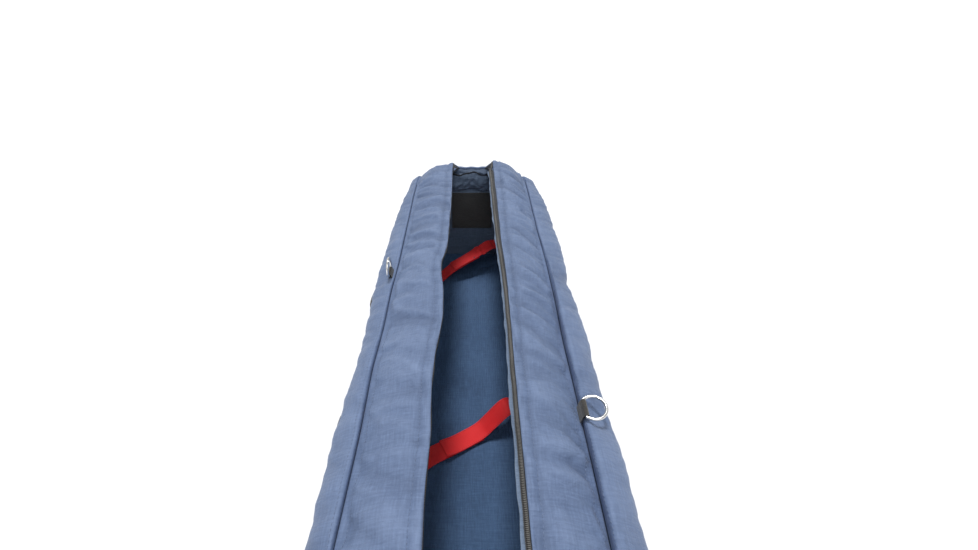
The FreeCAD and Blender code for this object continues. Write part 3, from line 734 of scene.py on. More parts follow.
def lid_grid(s, y, k):
    """Top surface of a lid flap at rows y (measured along the middle): from the side seam to the padded zip edge."""
    y = np.asarray(y, float)
    y = np.concatenate([[2 * y[0] - y[1]], y, [2 * y[-1] - y[-2]], [0.15]])   # spare rows, then a row for measuring
    u01 = np.linspace(0, 1, NU_LID)
    u01 = u01 + 0.035 * np.sin(2 * np.pi * u01) * -1
    U01, Y0 = np.meshgrid(u01, y)
    ystretch = 1 + (y_seam_end(U01, s) / Y_SIDE[s] - 1) * smooth(0.30, Y_SIDE[s], np.abs(Y0))
    Y = Y0 * ystretch
    SX, SZ, DR = seam_x(y, s), seam_z(y, s), drop(y, s)
    EX = edge_x(y, s) + (0.0100 - 0.0024 * smooth(0.25, -0.10, y) if s > 0 else 0.0)
    curl = 0.0030 * smooth(0.38, 0.47, np.abs(y))
    EZ = 0.2600 + curl + 0.0012 * noise(y * 13, 0 * y, 61 + s)
    if s < 0:
        EZ = EZ + 0.0015 * noise(y * 17, 0 * y + 3, 63)
    z0 = SZ - 0.0010 - DR
    # the right lid stands fuller towards the far end
    full = smooth(0.22, 0.45, y) * (1.0 if s > 0 else 0.15)
    P = np.stack([
        np.stack([SX - 0.0003, z0 - 0.0014], 1),
        np.stack([SX - 0.0018, z0 + 0.0004 + 0.0010 * full], 1),
        np.stack([SX + (EX - SX) * 0.16, z0 + 0.0062 + DR * 0.25 + 0.0045 * full], 1),
        np.stack([SX + (EX - SX) * 0.42, z0 + (EZ - z0) * 0.56 + 0.0022 + 0.0080 * full], 1),
        np.stack([SX + (EX - SX) * 0.70, z0 + (EZ - z0) * 0.83 + 0.0022 + 0.0050 * full], 1),
        np.stack([EX + 0.0060, EZ + 0.0002], 1),
        np.stack([EX + 0.0012, EZ - 0.0004], 1),
        np.stack([EX, EZ - 0.0022], 1),
    ], 1)
    kk = P.shape[1]
    t = np.interp(u01, [0, 0.06, 0.20, 0.8, 0.93, 1.0], [0, 1.0, 2.0, 4.3, 5.4, kk - 1])
    C = cr(P, t)
    G = np.stack([C[..., 0], Y, C[..., 1]], 2)
    n = grid_normals(G)
    n *= np.sign(n[..., 2:3]) + (n[..., 2:3] == 0)
    u = np.cumsum(np.concatenate([[0], np.linalg.norm(np.diff(C[-1], axis=0), axis=1)]))
    U = np.broadcast_to(u[None, :], U01.shape)
    ut = u[-1]
    sd = 101 if s > 0 else 141
    fade = smooth(0, 0.010, U) * smooth(ut, ut - 0.004, U)
    # puckers that run from the zip towards the seam, slanting, softer in the middle of the case
    sl = Y - (0.40 if s > 0 else -0.30) * U + 0.010 * noise(U * 20, Y * 12, sd + 21)
    much = 0.55 + 0.45 * smooth(0.02, 0.30, np.abs(Y))
    d = 0.0018 * noise(U * 7, sl * 14, sd) + much * (0.0031 * noise(U * 6, sl * 33, sd + 1) + 0.0011 * noise(U * 11, sl * 74, sd + 2))
    d = d + 0.0010 * noise(U * 9, Y * 88, sd + 3) * gauss(U, 0.010, 0.012)
    d = d - much * 0.0030 * ridge(U * 5 + 2, sl * 17, sd + 4)
    d = d - 0.0014 * ridge(U * 12, sl * 30, sd + 6)
    far = 0.40 + 0.60 * smooth(-0.18, 0.12, Y) if s < 0 else 0.75 + 0.25 * smooth(-0.2, 0.1, Y)
    lim = smooth(0.0, 0.016, U) * smooth(ut - 0.010, ut - 0.026, U)
    d = d + far * lim * (0.0044 * ridge(U * 4.5 + 9, sl * 17, sd + 17) + 0.0028 * ridge(U * 8 + 5, sl * 37, sd + 18))
    # gathered folds: rounded crests with tight valleys between them
    d = d + much * (0.0056 * (np.abs(noise(U * 5 + 4, sl * 21, sd + 14)) - 0.3) + 0.0026 * (np.abs(noise(U * 9, sl * 46, sd + 15)) - 0.3))
    # the puckered hem beside the zip
    d = d + (0.0009 * noise(U * 40, Y * 120, sd + 7) + 0.0008 * noise(U * 10, Y * 66, sd + 9)) * smooth(ut - 0.022, ut - 0.010, U)
    d = d - 0.0026 * gauss(U, ut - 0.0135, 0.0021)
    G = G + n * (d * fade)[..., None]
    G[..., 0] *= s
    FOLDS["lid"] = np.clip((d * fade)[1:-2] / 0.0040, -1, 1)
    return G[1:-2], U[1:-2], ut


def path_on(G, U, at, lift=0.0):
    """A line along a grid at the distance `at` from its first column, with its normals."""
    n = grid_normals(G)
    n *= np.where(n[..., 2:3] < 0, -1.0, 1.0)
    u = U[0]
    j = np.clip(np.searchsorted(u, at) - 1, 0, len(u) - 2)
    f = (at - u[j]) / (u[j + 1] - u[j])
    P = G[:, j] * (1 - f) + G[:, j + 1] * f
    N = n[:, j] * (1 - f) + n[:, j + 1] * f
    return P + N * lift, N


def ribbon(name, L, R, mats, t=0.0009, nsub=3, flip=False):
    """A thin closed band between two edge lines."""
    f = np.linspace(0, 1, nsub)[None, :, None]
    top = L[:, None, :] * (1 - f) + R[:, None, :] * f
    return shell(name, top, t, mats, flip=flip)


def coil_mesh(name, P, N, mat, pitch=0.0015, w=0.0018, h=0.0009, r=0.00040):
    """Spiral zip coil along P."""
    P = np.asarray(P, float)
    L = np.concatenate([[0], np.cumsum(np.linalg.norm(np.diff(P, axis=0), axis=1))])
    turns = int(L[-1] / pitch)
    per = 8
    s = np.linspace(0, L[-1], turns * per + 1)
    C = np.stack([np.interp(s, L, P[:, i]) for i in range(3)], 1)
    Nn = np.stack([np.interp(s, L, N[:, i]) for i in range(3)], 1)
    T = np.gradient(C, axis=0)
    T /= np.linalg.norm(T, axis=1, keepdims=True)
    Nn = Nn - T * np.sum(Nn * T, 1, keepdims=True)
    Nn /= np.linalg.norm(Nn, axis=1, keepdims=True)
    B = np.cross(T, Nn)
    a = s / pitch * 2 * np.pi
    Q = C + B * (np.cos(a) * w)[:, None] + Nn * (np.sin(a) * h)[:, None]
    D = np.gradient(Q, axis=0)
    D /= np.linalg.norm(D, axis=1, keepdims=True)
    out = Q - C
    out /= np.linalg.norm(out, axis=1, keepdims=True)
    X = np.cross(D, out)
    X /= np.linalg.norm(X, axis=1, keepdims=True)
    sides = 4
    an = np.arange(sides) / sides * 2 * np.pi + 0.785
    ring = Q[:, None] + r * (np.cos(an)[None, :, None] * out[:, None] + np.sin(an)[None, :, None] * X[:, None])
    V = ring.reshape(-1, 3)
    n = len(Q)
    i = np.arange(n - 1)[:, None] * sides
    q = np.arange(sides)[None, :]
    q2 = (q + 1) % sides
    F = np.stack([i + q, i + q2, i + sides + q2, i + sides + q], 2).reshape(-1, 4)
    return make_mesh(name, V, F, [mat], None, V[:, :2])


LID_ENDS = {}


def zip_reach(y, s):
    """How far the zip tape shows beyond the lid's edge."""
    y = np.asarray(y, float)
    if s > 0:
        return 0.0052 + 0.0046 * smooth(-0.05, 0.35, y) * smooth(-1, 0, y)
    return 0.0004 + 0 * y


def lid_part(side, s, end, k, part):
    if part == "mid":
        y = k * np.linspace(0, 0.30, 78)
    else:
        y = k * np.linspace(0.30, Y_SIDE[s], 46)
    G, U, ut = lid_grid(s, y, k)
    if part == "end":
        LID_ENDS[(side, end)] = G[-1].copy()
    Ym = G[..., 1]
    flip = (s * k) > 0
    attach = attach_mid if part == "mid" else attach_end
    tag = "%s_%s_%s" % (side, end, part)
    th = 0.0016 + 0.0042 * smooth(0.0, 0.010, U) * smooth(ut, ut - 0.010, U) - 0.0012 * gauss(U, ut - 0.0135, 0.0024)
    if part == "end":
        th = th * (1 - 0.55 * smooth(0.44, 0.468, np.abs(Ym)))
    # rubbed wear along both edges, plus painted highlight on fold crests and painted shade in fold valleys from FOLDS
    wear_and_crest_light = (0.5 * gauss(U, ut - 0.003, 0.004) + 0.35 * gauss(U, 0.006, 0.006) + 0.12) * (0.6 + 0.7 * noise(U * 24, Ym * 15, 77)) + 0.62 * FOLDS["lid"]
    iw = (0.0009 * noise(U * 26, Ym * 30, 94)) * smooth(0, 0.02, U) * smooth(ut, ut - 0.02, U)
    ob = shell("lid_" + tag, G, th, [OUT, LIN], flip=flip, wear_and_crest_light=wear_and_crest_light, inner_wr=iw, vabs=True)
    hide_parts(side + "_lid_skin", side + "_lid_lining")
    attach(ob, side, end)
    # stitch rows: hem beside the zip, and beside the seam
    lines = [path_on(G, U, ut - 0.0135, 0.0002), path_on(G, U, 0.0105, 0.0002)]
    st = stitches("lid_stitch_" + tag, lines, TH_OUT)
    attach(st, side, end)
    # zip tape and coil
    E, En = G[:, -1], grid_normals(G)[:, -2]
    En = En * np.where(En[:, 2:3] < 0, -1.0, 1.0)
    inward = np.stack([-s * np.ones(len(y)), 0 * y, 0.10 * np.ones(len(y))], 1)
    inward /= np.linalg.norm(inward, axis=1, keepdims=True)
    up = np.array([0, 0, 1.0])
    wav = 0.0007 * noise(y * 30, 0 * y, 81 + s)
    base = E - inward * 0.0055 + up * (-0.0012)
    reach = zip_reach(y, s)
    lipz = -0.0016 if s > 0 else -0.0050
    tipp = E + inward * (reach + wav)[:, None] + up * lipz
    base = base + up * -0.0016 + inward * 0.0012
    tape = ribbon("zip_tape_" + tag, base, tipp, [TAPE, TAPE], t=0.0010, nsub=5, flip=(s * k) > 0)
    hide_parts(side + "_zip_tape")
    attach(tape, side, end)
    cpos = E + inward * ((reach - (0.0026 if s > 0 else 0.0020)) + wav)[:, None] + up * (lipz + 0.0012)
    cp = coil_mesh("zip_coil_" + tag, cpos, np.broadcast_to(up, cpos.shape), COIL, w=0.0015 if s > 0 else 0.0012)
    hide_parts(side + "_zip_coil")
    attach(cp, side, end)
    tl = stitches("zip_stitch_" + tag, [(E + inward * (0.0014 if s > 0 else -0.0004) + up * (lipz + 0.0010), up)], TH_DARK, pitch=0.0038, length=0.0028, r=0.00032)
    attach(tl, side, end)
    # the lining's turned edge, showing just inside the zip tape
    amp = (0.0021 if s > 0 else 0.0004) * (noise(y * 20, 0 * y, 83 + s) + 0.6 * noise(y * 47, 0 * y, 84 + s))
    lb = E - inward * 0.0090 + up * -0.0046
    lt = E + inward * ((reach + (0.0022 + 0.0012 * smooth(0.2, -0.1, y) if s > 0 else -0.0016)) + amp)[:, None] + up * (lipz - 0.0030 - 0.4 * amp)[:, None]
    li = ribbon("lid_facing_" + tag, lb, lt, [LIN, LIN], t=0.0014, nsub=6, flip=(s * k) > 0)
    attach(li, side, end)


for side, s in SIDES:
    for end, k in ENDS:
        for part in ("mid", "end"):
            lid_part(side, s, end, k, part)

# ---- end panels: a band that carries on from the sides and lids, rolled over into the end, lined inside
NOTCH_Z = 0.2528
CEN = np.array([0.0, 0.0, 0.125])


def end_panel(end, k):
    R = END_BOUND[("right", end, "side")]
    Lf = END_BOUND[("left", end, "side")]
    RL, LL = LID_ENDS[("right", end)], LID_ENDS[("left", end)]
    xr, xl = RL[-1][0], LL[-1][0]
    notch = []
    for f in np.linspace(0, 1, 30):
        x = xr * 0.70 + (xl * 0.70 - xr * 0.70) * f
        dip = math.sin(math.pi * f) ** 0.5
        notch.append((x, k * (0.4915 + 0.0030 * dip), NOTCH_Z + 0.0016 * (1 - dip) + 0.0007 * math.sin(f * 15)))
    notch = np.array(notch)
    bottom = np.array([(x, k * (Y_SIDE[1] + (Y_SIDE[-1] - Y_SIDE[1]) * (0.5 - x / 0.233)), 0.0012) for x in np.linspace(-0.1165, 0.1165, 46)[1:-1]])
    parts = [R[::2], RL[1:], notch, LL[::-1][:-1], Lf[::-1][::2], bottom]
    kind = np.concatenate([np.full(len(p), i) for i, p in enumerate(parts)])
    B = np.concatenate(parts)
    M = len(B)
    isn = kind == 2
    ex = np.where(B[:, 0] > 0, np.abs(B[:, 0] - xr), np.abs(B[:, 0] - xl))
    peak = np.where((kind == 1) | (kind == 3), np.exp(-((ex / 0.016) ** 2)), 0.0) * np.where(B[:, 0] > 0, 0.0085, 0.0050)
    sd = 201 if k > 0 else 241

    def rings(y1, qa, yp, qb, amp, off0, na, nb, nc, push):
        """off0 starts the layer inside the boundary; y1 and qa end the band, yp and qb end the roll."""
        out, q_of = [], []
        yB = np.abs(B[:, 1])
        r0 = np.hypot(B[:, 0], B[:, 2] - CEN[2])

        def place(q, yy, w, pk=0.0):
            P = CEN + (B - CEN) * q[:, None]
            P[:, 2] += peak * pk
            P[:, 1] = k * (yy + w)
            P[:, 2] = np.maximum(P[:, 2], 0.0004 if push > 0 else 0.0030)
            return P

        for i, a in enumerate(np.linspace(0, 1, na)):
            y1c = np.where(isn, np.maximum(y1, yB + 0.0035) if push > 0 else yB - 0.0040 * 0, y1)
            yy = yB + (y1c - yB) * a
            q = (1 - off0 / r0) * (1 - (1 - np.where(isn, 0.999, qa)) * a)
            pk = smooth(0, 1, a) * (1.0 if push > 0 else 0.8)
            # soft puckers across the band
            wob = 0.0010 * noise(B[:, 0] * 42 + i * 0.05, B[:, 2] * 42, sd + 11) * math.sin(math.pi * min(a, 0.98)) / r0
            out.append(place(q + np.where(isn, 0, wob), yy, 0.0, pk))
            q_of.append(q)
        last_q, last_y = q_of[-1], np.abs(out[-1][:, 1])
        for j, b in enumerate(np.linspace(0, math.pi / 2, nb)[1:]):
            f = math.sin(b)
            q = last_q - (last_q - np.where(isn, qb * 0.985, qb) * last_q / last_q) * (1 - math.cos(b))
            yy = last_y + (yp - last_y) * f
            P0 = place(q, yy, 0.0, (1 - smooth(0, 0.8, f)) * 1.0)
            w = amp(P0[:, 0], P0[:, 2]) * f * f
            P0[:, 1] = k * (yy + w)
            out.append(P0)
            q_of.append(q)
        q_end = q_of[-1]
        for c in np.linspace(1, 0.02, nc)[1:]:
            q = q_end * c
            P0 = place(q, np.full(M, yp), 0.0)
            w = amp(P0[:, 0], P0[:, 2])
            P0[:, 1] = k * (yp + w)
            out.append(P0)
            q_of.append(q)
        return np.array(out)

    def amp_out(X, Z):
        return 0.0026 * noise(X * 9, Z * 8, sd) + 0.0012 * noise(X * 24, Z * 19, sd + 1) - 0.0016 * ridge(X * 7, Z * 6, sd + 2) + 0.0006 * noise(X * 60, Z * 30, sd + 3)

    def amp_in(X, Z):
        top = smooth(0.185, 0.235, Z)
        hor = 0.0044 * noise(X * 15 + 2, Z * 58 + X * 14, sd + 5) + 0.0028 * noise(X * 30, Z * 100 - X * 30, sd + 6) + 0.0018 * noise(X * 60, Z * 50, sd + 7)
        hor = hor - 0.0050 * ridge(X * 11 + 1, Z * 26 + X * 9, sd + 9)
        flat = 0.0016 * noise(X * 10, Z * 12, sd + 8)
        return top * hor + flat * (1 - smooth(0.070, 0.060, np.abs(X - 0.004)) * smooth(0.205, 0.195, Z) * 0.8)

    outer = rings(0.4935, 0.988, Y_END, 0.880, amp_out, 0.0, 12, 12, 34, 1)
    inner = rings(0.4800, 0.985, 0.4868, 0.930, amp_in, 0.0036, 12, 8, 38, -1)
    # the notch's inner lip comes down behind the zip tape
    V, F, idx, off = [outer.reshape(-1, 3), inner.reshape(-1, 3)], [], [], 0
    base_in = outer.shape[0] * M
    for layer, arr, o in ((0, outer, 0), (1, inner, base_in)):
        nr = arr.shape[0]
        i = (np.arange(nr - 1)[:, None] * M + np.arange(M)[None, :])
        i2 = (np.arange(nr - 1)[:, None] * M + (np.arange(M)[None, :] + 1) % M)
        q = np.stack([i, i2, i2 + M, i + M], 2).reshape(-1, 4) + o
        if (layer == 0) != (k > 0):
            q = q[:, ::-1]
        F += [tuple(f) for f in q]
        idx += [layer] * len(q)
    tot = base_in + inner.shape[0] * M
    V.append(np.array([[0, k * Y_END, 0.125], [0, k * 0.4868, 0.125]]))
    for layer, nr, o in ((0, outer.shape[0], 0), (1, inner.shape[0], base_in)):
        for j in range(M):
            q = (o + (nr - 1) * M + j, o + (nr - 1) * M + (j + 1) % M, tot + layer)
            if (layer == 0) != (k > 0):
                q = q[::-1]
            F.append(q)
            idx.append(layer)
    for j in range(M):
        j2 = (j + 1) % M
        q = (j2, j, base_in + j, base_in + j2)
        if k < 0:
            q = q[::-1]
        F.append(q)
        idx.append(0)
    V = np.concatenate(V)
    for fi, q in enumerate(F):
        mid = V[list(q)].mean(0)
        # inner faces at the notch's lip take the darker lining copy, painted shade
        if mid[2] > 0.2425 and abs(mid[0]) < 0.056:
            if idx[fi] == 1 and abs(mid[0]) < 0.052:
                idx[fi] = 2
            elif fi >= len(F) - M:
                nn = np.cross(V[q[1]] - V[q[0]], V[q[2]] - V[q[1]])
                if abs(nn[0]) > 0.30 * np.linalg.norm(nn):
                    idx[fi] = 3
    step = np.linalg.norm(np.diff(outer, axis=0), axis=2)
    arc = np.concatenate([np.zeros((1, M)), np.cumsum(step, 0)])
    band = np.minimum(arc, 0.03)
    UV = np.zeros((len(V), 2))
    UV[:, 0] = V[:, 0]
    UV[:, 1] = V[:, 2]
    UV[: base_in, 1] += band.ravel() * np.sign(outer[..., 2].ravel() - 0.125)
    wear_and_crest_light = np.zeros(len(V))
    row = np.repeat(np.arange(outer.shape[0]), M)
    wear_and_crest_light[:base_in] = 0.42 * np.exp(-(((row - 15) / 4.0) ** 2)) * (0.6 + 0.6 * noise(V[:base_in, 0] * 30, V[:base_in, 2] * 30, 72))
    ob = make_mesh("end_panel_" + end, V, F, [OUT, LIN, LIP_SHADE, NAVY], idx, UV, wear_and_crest_light)
    ids = np.arange(M)
    nx = (ids + 1) % M
    sharpen(ob, np.concatenate([np.stack([ids, nx], 1), np.stack([ids + base_in, nx + base_in], 1)]))
    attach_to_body(ob, "base")
    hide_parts("end_%s_skin" % end, "end_%s_foam" % end, "end_%s_lining" % end)
    # topstitching on the band just outside the seam
    ring = outer[2]
    keep = (ring[:, 2] > 0.012) & ~isn
    idx_keep = np.where(keep)[0]
    runs = np.split(idx_keep, np.where(np.diff(idx_keep) > 1)[0] + 1)
    lines = []
    for run in runs:
        if len(run) > 3:
            lines.append((ring[run], (ring[run] - CEN) * [1, 0, 1]))
    st = stitches("end_stitch_" + end, lines, TH_OUT)
    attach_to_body(st, "base")

    # the zip tape carries on along the band's two edges, up to the peak and down into the notch
    for side, s in SIDES:
        col = np.where(kind == 1)[0][-1] if s > 0 else np.where(kind == 3)[0][0]
        E = outer[:12, col]
        inward = np.array([-s, 0, 0.10]) / math.hypot(1, 0.10)
        up = np.array([0, 0, 1.0])
        reach = np.linspace(float(zip_reach(k * 0.46, s)), 0.0030, 12)[:, None]
        a = E - inward * 0.0050 + up * -0.0030
        b = E + inward * reach + up * -0.0018
        t = ribbon("zip_tape_%s_%s_over" % (side, end), a, b, [NAVY, NAVY], t=0.0012, nsub=5, flip=(s * k) > 0)
        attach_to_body(t, "base")
        cpos = E + inward * np.maximum(reach - 0.0038, 0.0006) + up * -0.0004
        c = coil_mesh("zip_coil_%s_%s_over" % (side, end), cpos, np.broadcast_to(up, cpos.shape), NAVY if s < 0 else COIL, w=0.0018)
        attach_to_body(c, "base")
        # the facing that shows dark under the peak
        p0, p1 = E[-1], E[5]
        nc = notch[0] if s > 0 else notch[-1]
        f = np.linspace(0, 1, 12)[:, None]
        topl = p0 * (1 - f) + p1 * f + up * -0.0010 + inward * 0.0006
        low = nc * (1 - f) + (p1 + up * -0.0110) * f + inward * 0.0010
        topl = topl + np.array([0, -k * 0.0042, 0.0022])
        low = low + np.array([0, -k * 0.0042, 0.0022])
        fc = ribbon("zip_facing_%s_%s" % (side, end), topl, low, [NAVY, NAVY], t=0.0010, nsub=6, flip=(s * k) < 0)
        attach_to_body(fc, "base")
    # tape across the notch, on the inside, wavy
    n = 60
    f = np.linspace(0, 1, n)
    x = 0.0425 - 0.0835 * f
    z = 0.2405 + 0.0068 * np.exp(-(((x - 0.002) / 0.017) ** 2)) + 0.0012 * np.sin(f * 21) - 0.0010 * np.cos(f * 9)
    yy = 0.4806 + 0.0012 * noise(x * 60, 0 * x, 333)
    lo = np.stack([x, k * yy, z - 0.0016], 1)
    hi = np.stack([x, k * (yy + 0.0006), z + 0.0016], 1)
    t = ribbon("zip_tape_across_" + end, hi, lo, [NAVY, NAVY], t=0.0014, nsub=4, flip=k > 0)
    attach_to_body(t, "base")
    # the lining hangs loose below that tape, in wrinkles
    dx = np.linspace(-0.052, 0.054, 70)
    dv = np.linspace(0, 1, 34)
    Xd, Vd = np.meshgrid(dx, dv)
    top_z = 0.2392 + 0.0068 * np.exp(-(((Xd - 0.002) / 0.017) ** 2)) + 0.0008 * np.sin(Xd * 190)
    out_ = (0.0085 + 0.0050 * noise(Xd * 26, 0 * Xd, 351)) * smooth(0.052, 0.034, np.abs(Xd))
    ang = np.pi * Vd ** 0.8
    wr = 0.0026 * np.abs(noise(Xd * 55 + Vd * 3, Vd * 2.2, 352)) + 0.0022 * noise(Xd * 34 - Vd * 2, Vd * 4.2, 353) + 0.0012 * noise(Xd * 90, Vd * 7, 354)
    Yd = 0.4862 - out_ * np.sin(ang) + wr * np.sin(np.pi * Vd) * smooth(0.052, 0.040, np.abs(Xd))
    Zd = top_z - 0.0400 * (1 - np.cos(ang)) / 2 + 0.0015 * noise(Xd * 40, Vd * 5, 355) * np.sin(np.pi * Vd)
    dr_ = shell("end_drape_" + end, np.stack([Xd, k * Yd, Zd], 2), 0.0010, [LIN, LIN], flip=k < 0)
    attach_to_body(dr_, "base")
    # folded tab where the zip's two halves end, behind the notch
    lo_, hi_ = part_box("zip_end_" + end)
    ya, yb = sorted((abs(lo_[1]), abs(hi_[1])))
    X, Yt = np.meshgrid(np.linspace(lo_[0] * 1.2, hi_[0] * 1.2, 36), np.linspace(yb - 0.012, yb, 24))
    fall = (np.abs(X) / 0.021) ** 2.2
    Zt = hi_[2] - 0.0016 - 0.0135 * fall - 0.0050 * smooth(yb - 0.004, yb - 0.014, Yt) + 0.0010 * noise(X * 90, Yt * 110, 340)
    Yt = Yt + fall * 0.014
    Yt = np.minimum(Yt, yb + 0.001 - 0.002 * (1 - np.linspace(0, 1, 24))[:, None])
    tab = shell("zip_end_tab_" + end, np.stack([X, k * Yt, Zt], 2), 0.0026, [LIN, LIN], flip=k < 0)
    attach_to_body(tab, "base")
    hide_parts("zip_end_" + end)


for end, k in ENDS:
    end_panel(end, k)

# ---- floor
yy = np.linspace(-0.486, 0.486, 190)
xx = np.linspace(-0.1135, 0.1135, 50)
X, Y = np.meshgrid(xx, yy)
edge = smooth(0.1135, 0.098, np.abs(X)) * smooth(0.486, 0.466, np.abs(Y))
Z = 0.0112 + 0.0043 * edge ** 0.5
Z = Z + edge * (0.0010 * noise(X * 8, Y * 7, 301) + 0.0007 * noise(X * 18, Y * 15, 302) + 0.0004 * noise(X * 60, Y * 22, 303))
# a soft crease across the floor near the far end
Z = Z - edge * 0.0034 * gauss(Y - 0.22 * (X - 0.03) - 0.02 * noise(X * 12, 0 * X, 305), 0.424, 0.007) * smooth(-0.02, 0.03, X)
Z = Z + edge * 0.0022 * gauss(Y - 0.22 * (X - 0.03), 0.438, 0.010) * smooth(-0.02, 0.03, X)
top = np.stack([X, Y, Z], 2)
fl = shell("floor_pad", top, 0.0, [FLOOR_LIN, LIN], flip=False, inner=np.stack([X, Y, np.full_like(X, 0.0046)], 2))
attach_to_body(fl, "base")
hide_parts("floor_lining", "floor_foam")
yy = np.linspace(-0.470, 0.470, 160)
xx = np.linspace(-0.1175, 0.1175, 44)
X, Y = np.meshgrid(xx, yy)
Z = 0.0002 + 0.0006 * np.abs(noise(X * 12, Y * 9, 311)) + 0.0010 * smooth(0.105, 0.1175, np.abs(X))
bot = np.stack([X, Y, Z], 2)
fb = shell("floor_under", bot, 0.0, [OUT, LIN], flip=True, inner=np.stack([X, Y, np.full_like(X, 0.0014) + 0.0006 * smooth(0.105, 0.1175, np.abs(X))], 2), wear_and_crest_light=0.25 + 0.3 * noise(X * 20, Y * 12, 312))
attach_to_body(fb, "base")
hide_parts("floor_skin")
NODES["floor_board"].data.materials.clear()
NODES["floor_board"].data.materials.append(BOARD)

# ---- hook-and-loop patches on the end linings
for end, k in ENDS:
    lo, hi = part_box("end_%s_patch" % end)
    x = np.linspace(lo[0], hi[0], 40)
    z = np.linspace(lo[2], hi[2], 40)
    X, Zz = np.meshgrid(x, z)
    dx = np.minimum(X - lo[0], hi[0] - X)
    dz = np.minimum(Zz - lo[2], hi[2] - Zz)
    m = np.minimum(dx, dz)
    front = 0.4868 - 0.0018
    yv = front - 0.0011 * smooth(0, 0.003, m) + 0.0005 * noise(X * 30, Zz * 30, 401) + 0.0008 * gauss(m, 0.0045, 0.0010)
    cx, cz = (lo[0] + hi[0]) / 2, (lo[2] + hi[2]) / 2
    wob = 0.0008 * noise(Zz * 25, X * 5, 403)
    wz = 0.0008 * noise(X * 25, Zz * 5, 404)
    g = np.stack([X + wob, k * yv, Zz + wz], 2)
    ob = shell("patch_" + end, g, 0.0022, [PATCH, PATCH], flip=k < 0)
    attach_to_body(ob, "base")
    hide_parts("end_%s_patch" % end)
    q = 0.0045
    c = [(lo[0] + q, k * (front - 0.0012), lo[2] + q), (hi[0] - q, k * (front - 0.0012), lo[2] + q), (hi[0] - q, k * (front - 0.0012), hi[2] - q), (lo[0] + q, k * (front - 0.0012), hi[2] - q), (lo[0] + q, k * (front - 0.0012), lo[2] + q)]
    st = stitches("patch_stitch_" + end, [(np.array([c[i], c[i + 1]]), np.array([0, -k, 0.0])) for i in range(4)], TH_BLACK)
    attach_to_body(st, "base")

# ---- red straps
BETA = math.atan(0.5577)
UDIR = np.array([math.cos(BETA), math.sin(BETA), 0.0])
WDIR = np.array([-math.sin(BETA), math.cos(BETA), 0.0])
HALF = 0.104 / math.cos(BETA)
HS = HALF - 0.020
ZF = FLOOR_Z


def spline2(pts, n):
    P = np.array(pts, float)[None]
    t = np.linspace(0, len(pts) - 1, n)
    return cr(P, t)[0]


def strap(name, pts, y_mid, mats, width=0.030, t=0.0016, n=70, twist=None, wob=0.0, seed=1):
    """Webbing along (distance, height) points in the strap's own upright plane."""
    C = spline2(pts, n)
    d = np.gradient(C, axis=0)
    d /= np.linalg.norm(d, axis=1, keepdims=True)
    N2 = np.stack([-d[:, 1], d[:, 0]], 1)
    nu = 17
    w = np.linspace(-0.5, 0.5, nu)
    side = wob * noise(C[:, 0] * 22, 0 * C[:, 0], seed)
    tw = (twist(C[:, 0]) if twist is not None else 0 * C[:, 0])
    Pm = UDIR[None] * C[:, :1] + np.array([0, 0, 1.0])[None] * C[:, 1:2] + np.array([0, y_mid, 0])[None]
    Nv = UDIR[None] * N2[:, :1] + np.array([0, 0, 1.0])[None] * N2[:, 1:2]
    W3 = WDIR[None, :] * np.cos(tw)[:, None] + Nv * np.sin(tw)[:, None]
    cup = 0.0006 * (1 - (2 * w) ** 2)
    G = Pm[:, None, :] + W3[:, None, :] * (w[None, :, None] * width) + (WDIR * 1.0)[None, None, :] * side[:, None, None] + Nv[:, None, :] * (t + cup[None, :, None])
    ob = shell(name, G, t, mats, flip=True)
    return ob, G, Nv


lowA = [(-HALF, ZF), (-HALF + 0.010, ZF), (-HALF + 0.020, ZF + 0.0006), (-HALF + 0.042, ZF + 0.010), (-0.052, ZF + 0.024), (-0.020, ZF + 0.033), (0.018, ZF + 0.038)]
upA = [(-0.050, ZF + 0.0285), (-0.020, ZF + 0.0366), (0.018, ZF + 0.0418), (0.040, ZF + 0.0450), (0.062, ZF + 0.0425), (HS - 0.012, ZF + 0.0235), (HS - 0.003, ZF + 0.0050), (HS + 0.0006, ZF + 0.0012)]
lowB = [(-HALF, ZF), (-HALF + 0.010, ZF), (-HALF + 0.020, ZF + 0.0006), (-HALF + 0.036, ZF + 0.005), (-0.060, ZF + 0.008), (-0.020, ZF + 0.003), (0.018, ZF + 0.004)]
upB = [(-0.050, ZF + 0.0118), (-0.020, ZF + 0.0066), (0.018, ZF + 0.0078), (0.038, ZF + 0.0205), (0.057, ZF + 0.0365), (0.070, ZF + 0.0415), (0.082, ZF + 0.0345), (HS - 0.007, ZF + 0.0145), (HS - 0.0018, ZF + 0.0046), (HS + 0.0006, ZF + 0.0012)]
lowC = [(-HALF, ZF), (-HALF + 0.010, ZF), (-HALF + 0.020, ZF + 0.0006), (-HALF + 0.042, ZF + 0.010), (-0.052, ZF + 0.024), (-0.020, ZF + 0.0340), (0.018, ZF + 0.0415)]
upC = [(-0.050, ZF + 0.0290), (-0.020, ZF + 0.0378), (0.012, ZF + 0.0452), (0.024, ZF + 0.0502), (0.031, ZF + 0.0490), (0.038, ZF + 0.0530), (0.050, ZF + 0.0572), (0.0575, ZF + 0.0578), (0.0635, ZF + 0.0556), (0.0700, ZF + 0.0566), (0.081, ZF + 0.0494), (HS - 0.0065, ZF + 0.0200), (HS - 0.0019, ZF + 0.0046), (HS + 0.0006, ZF + 0.0012)]
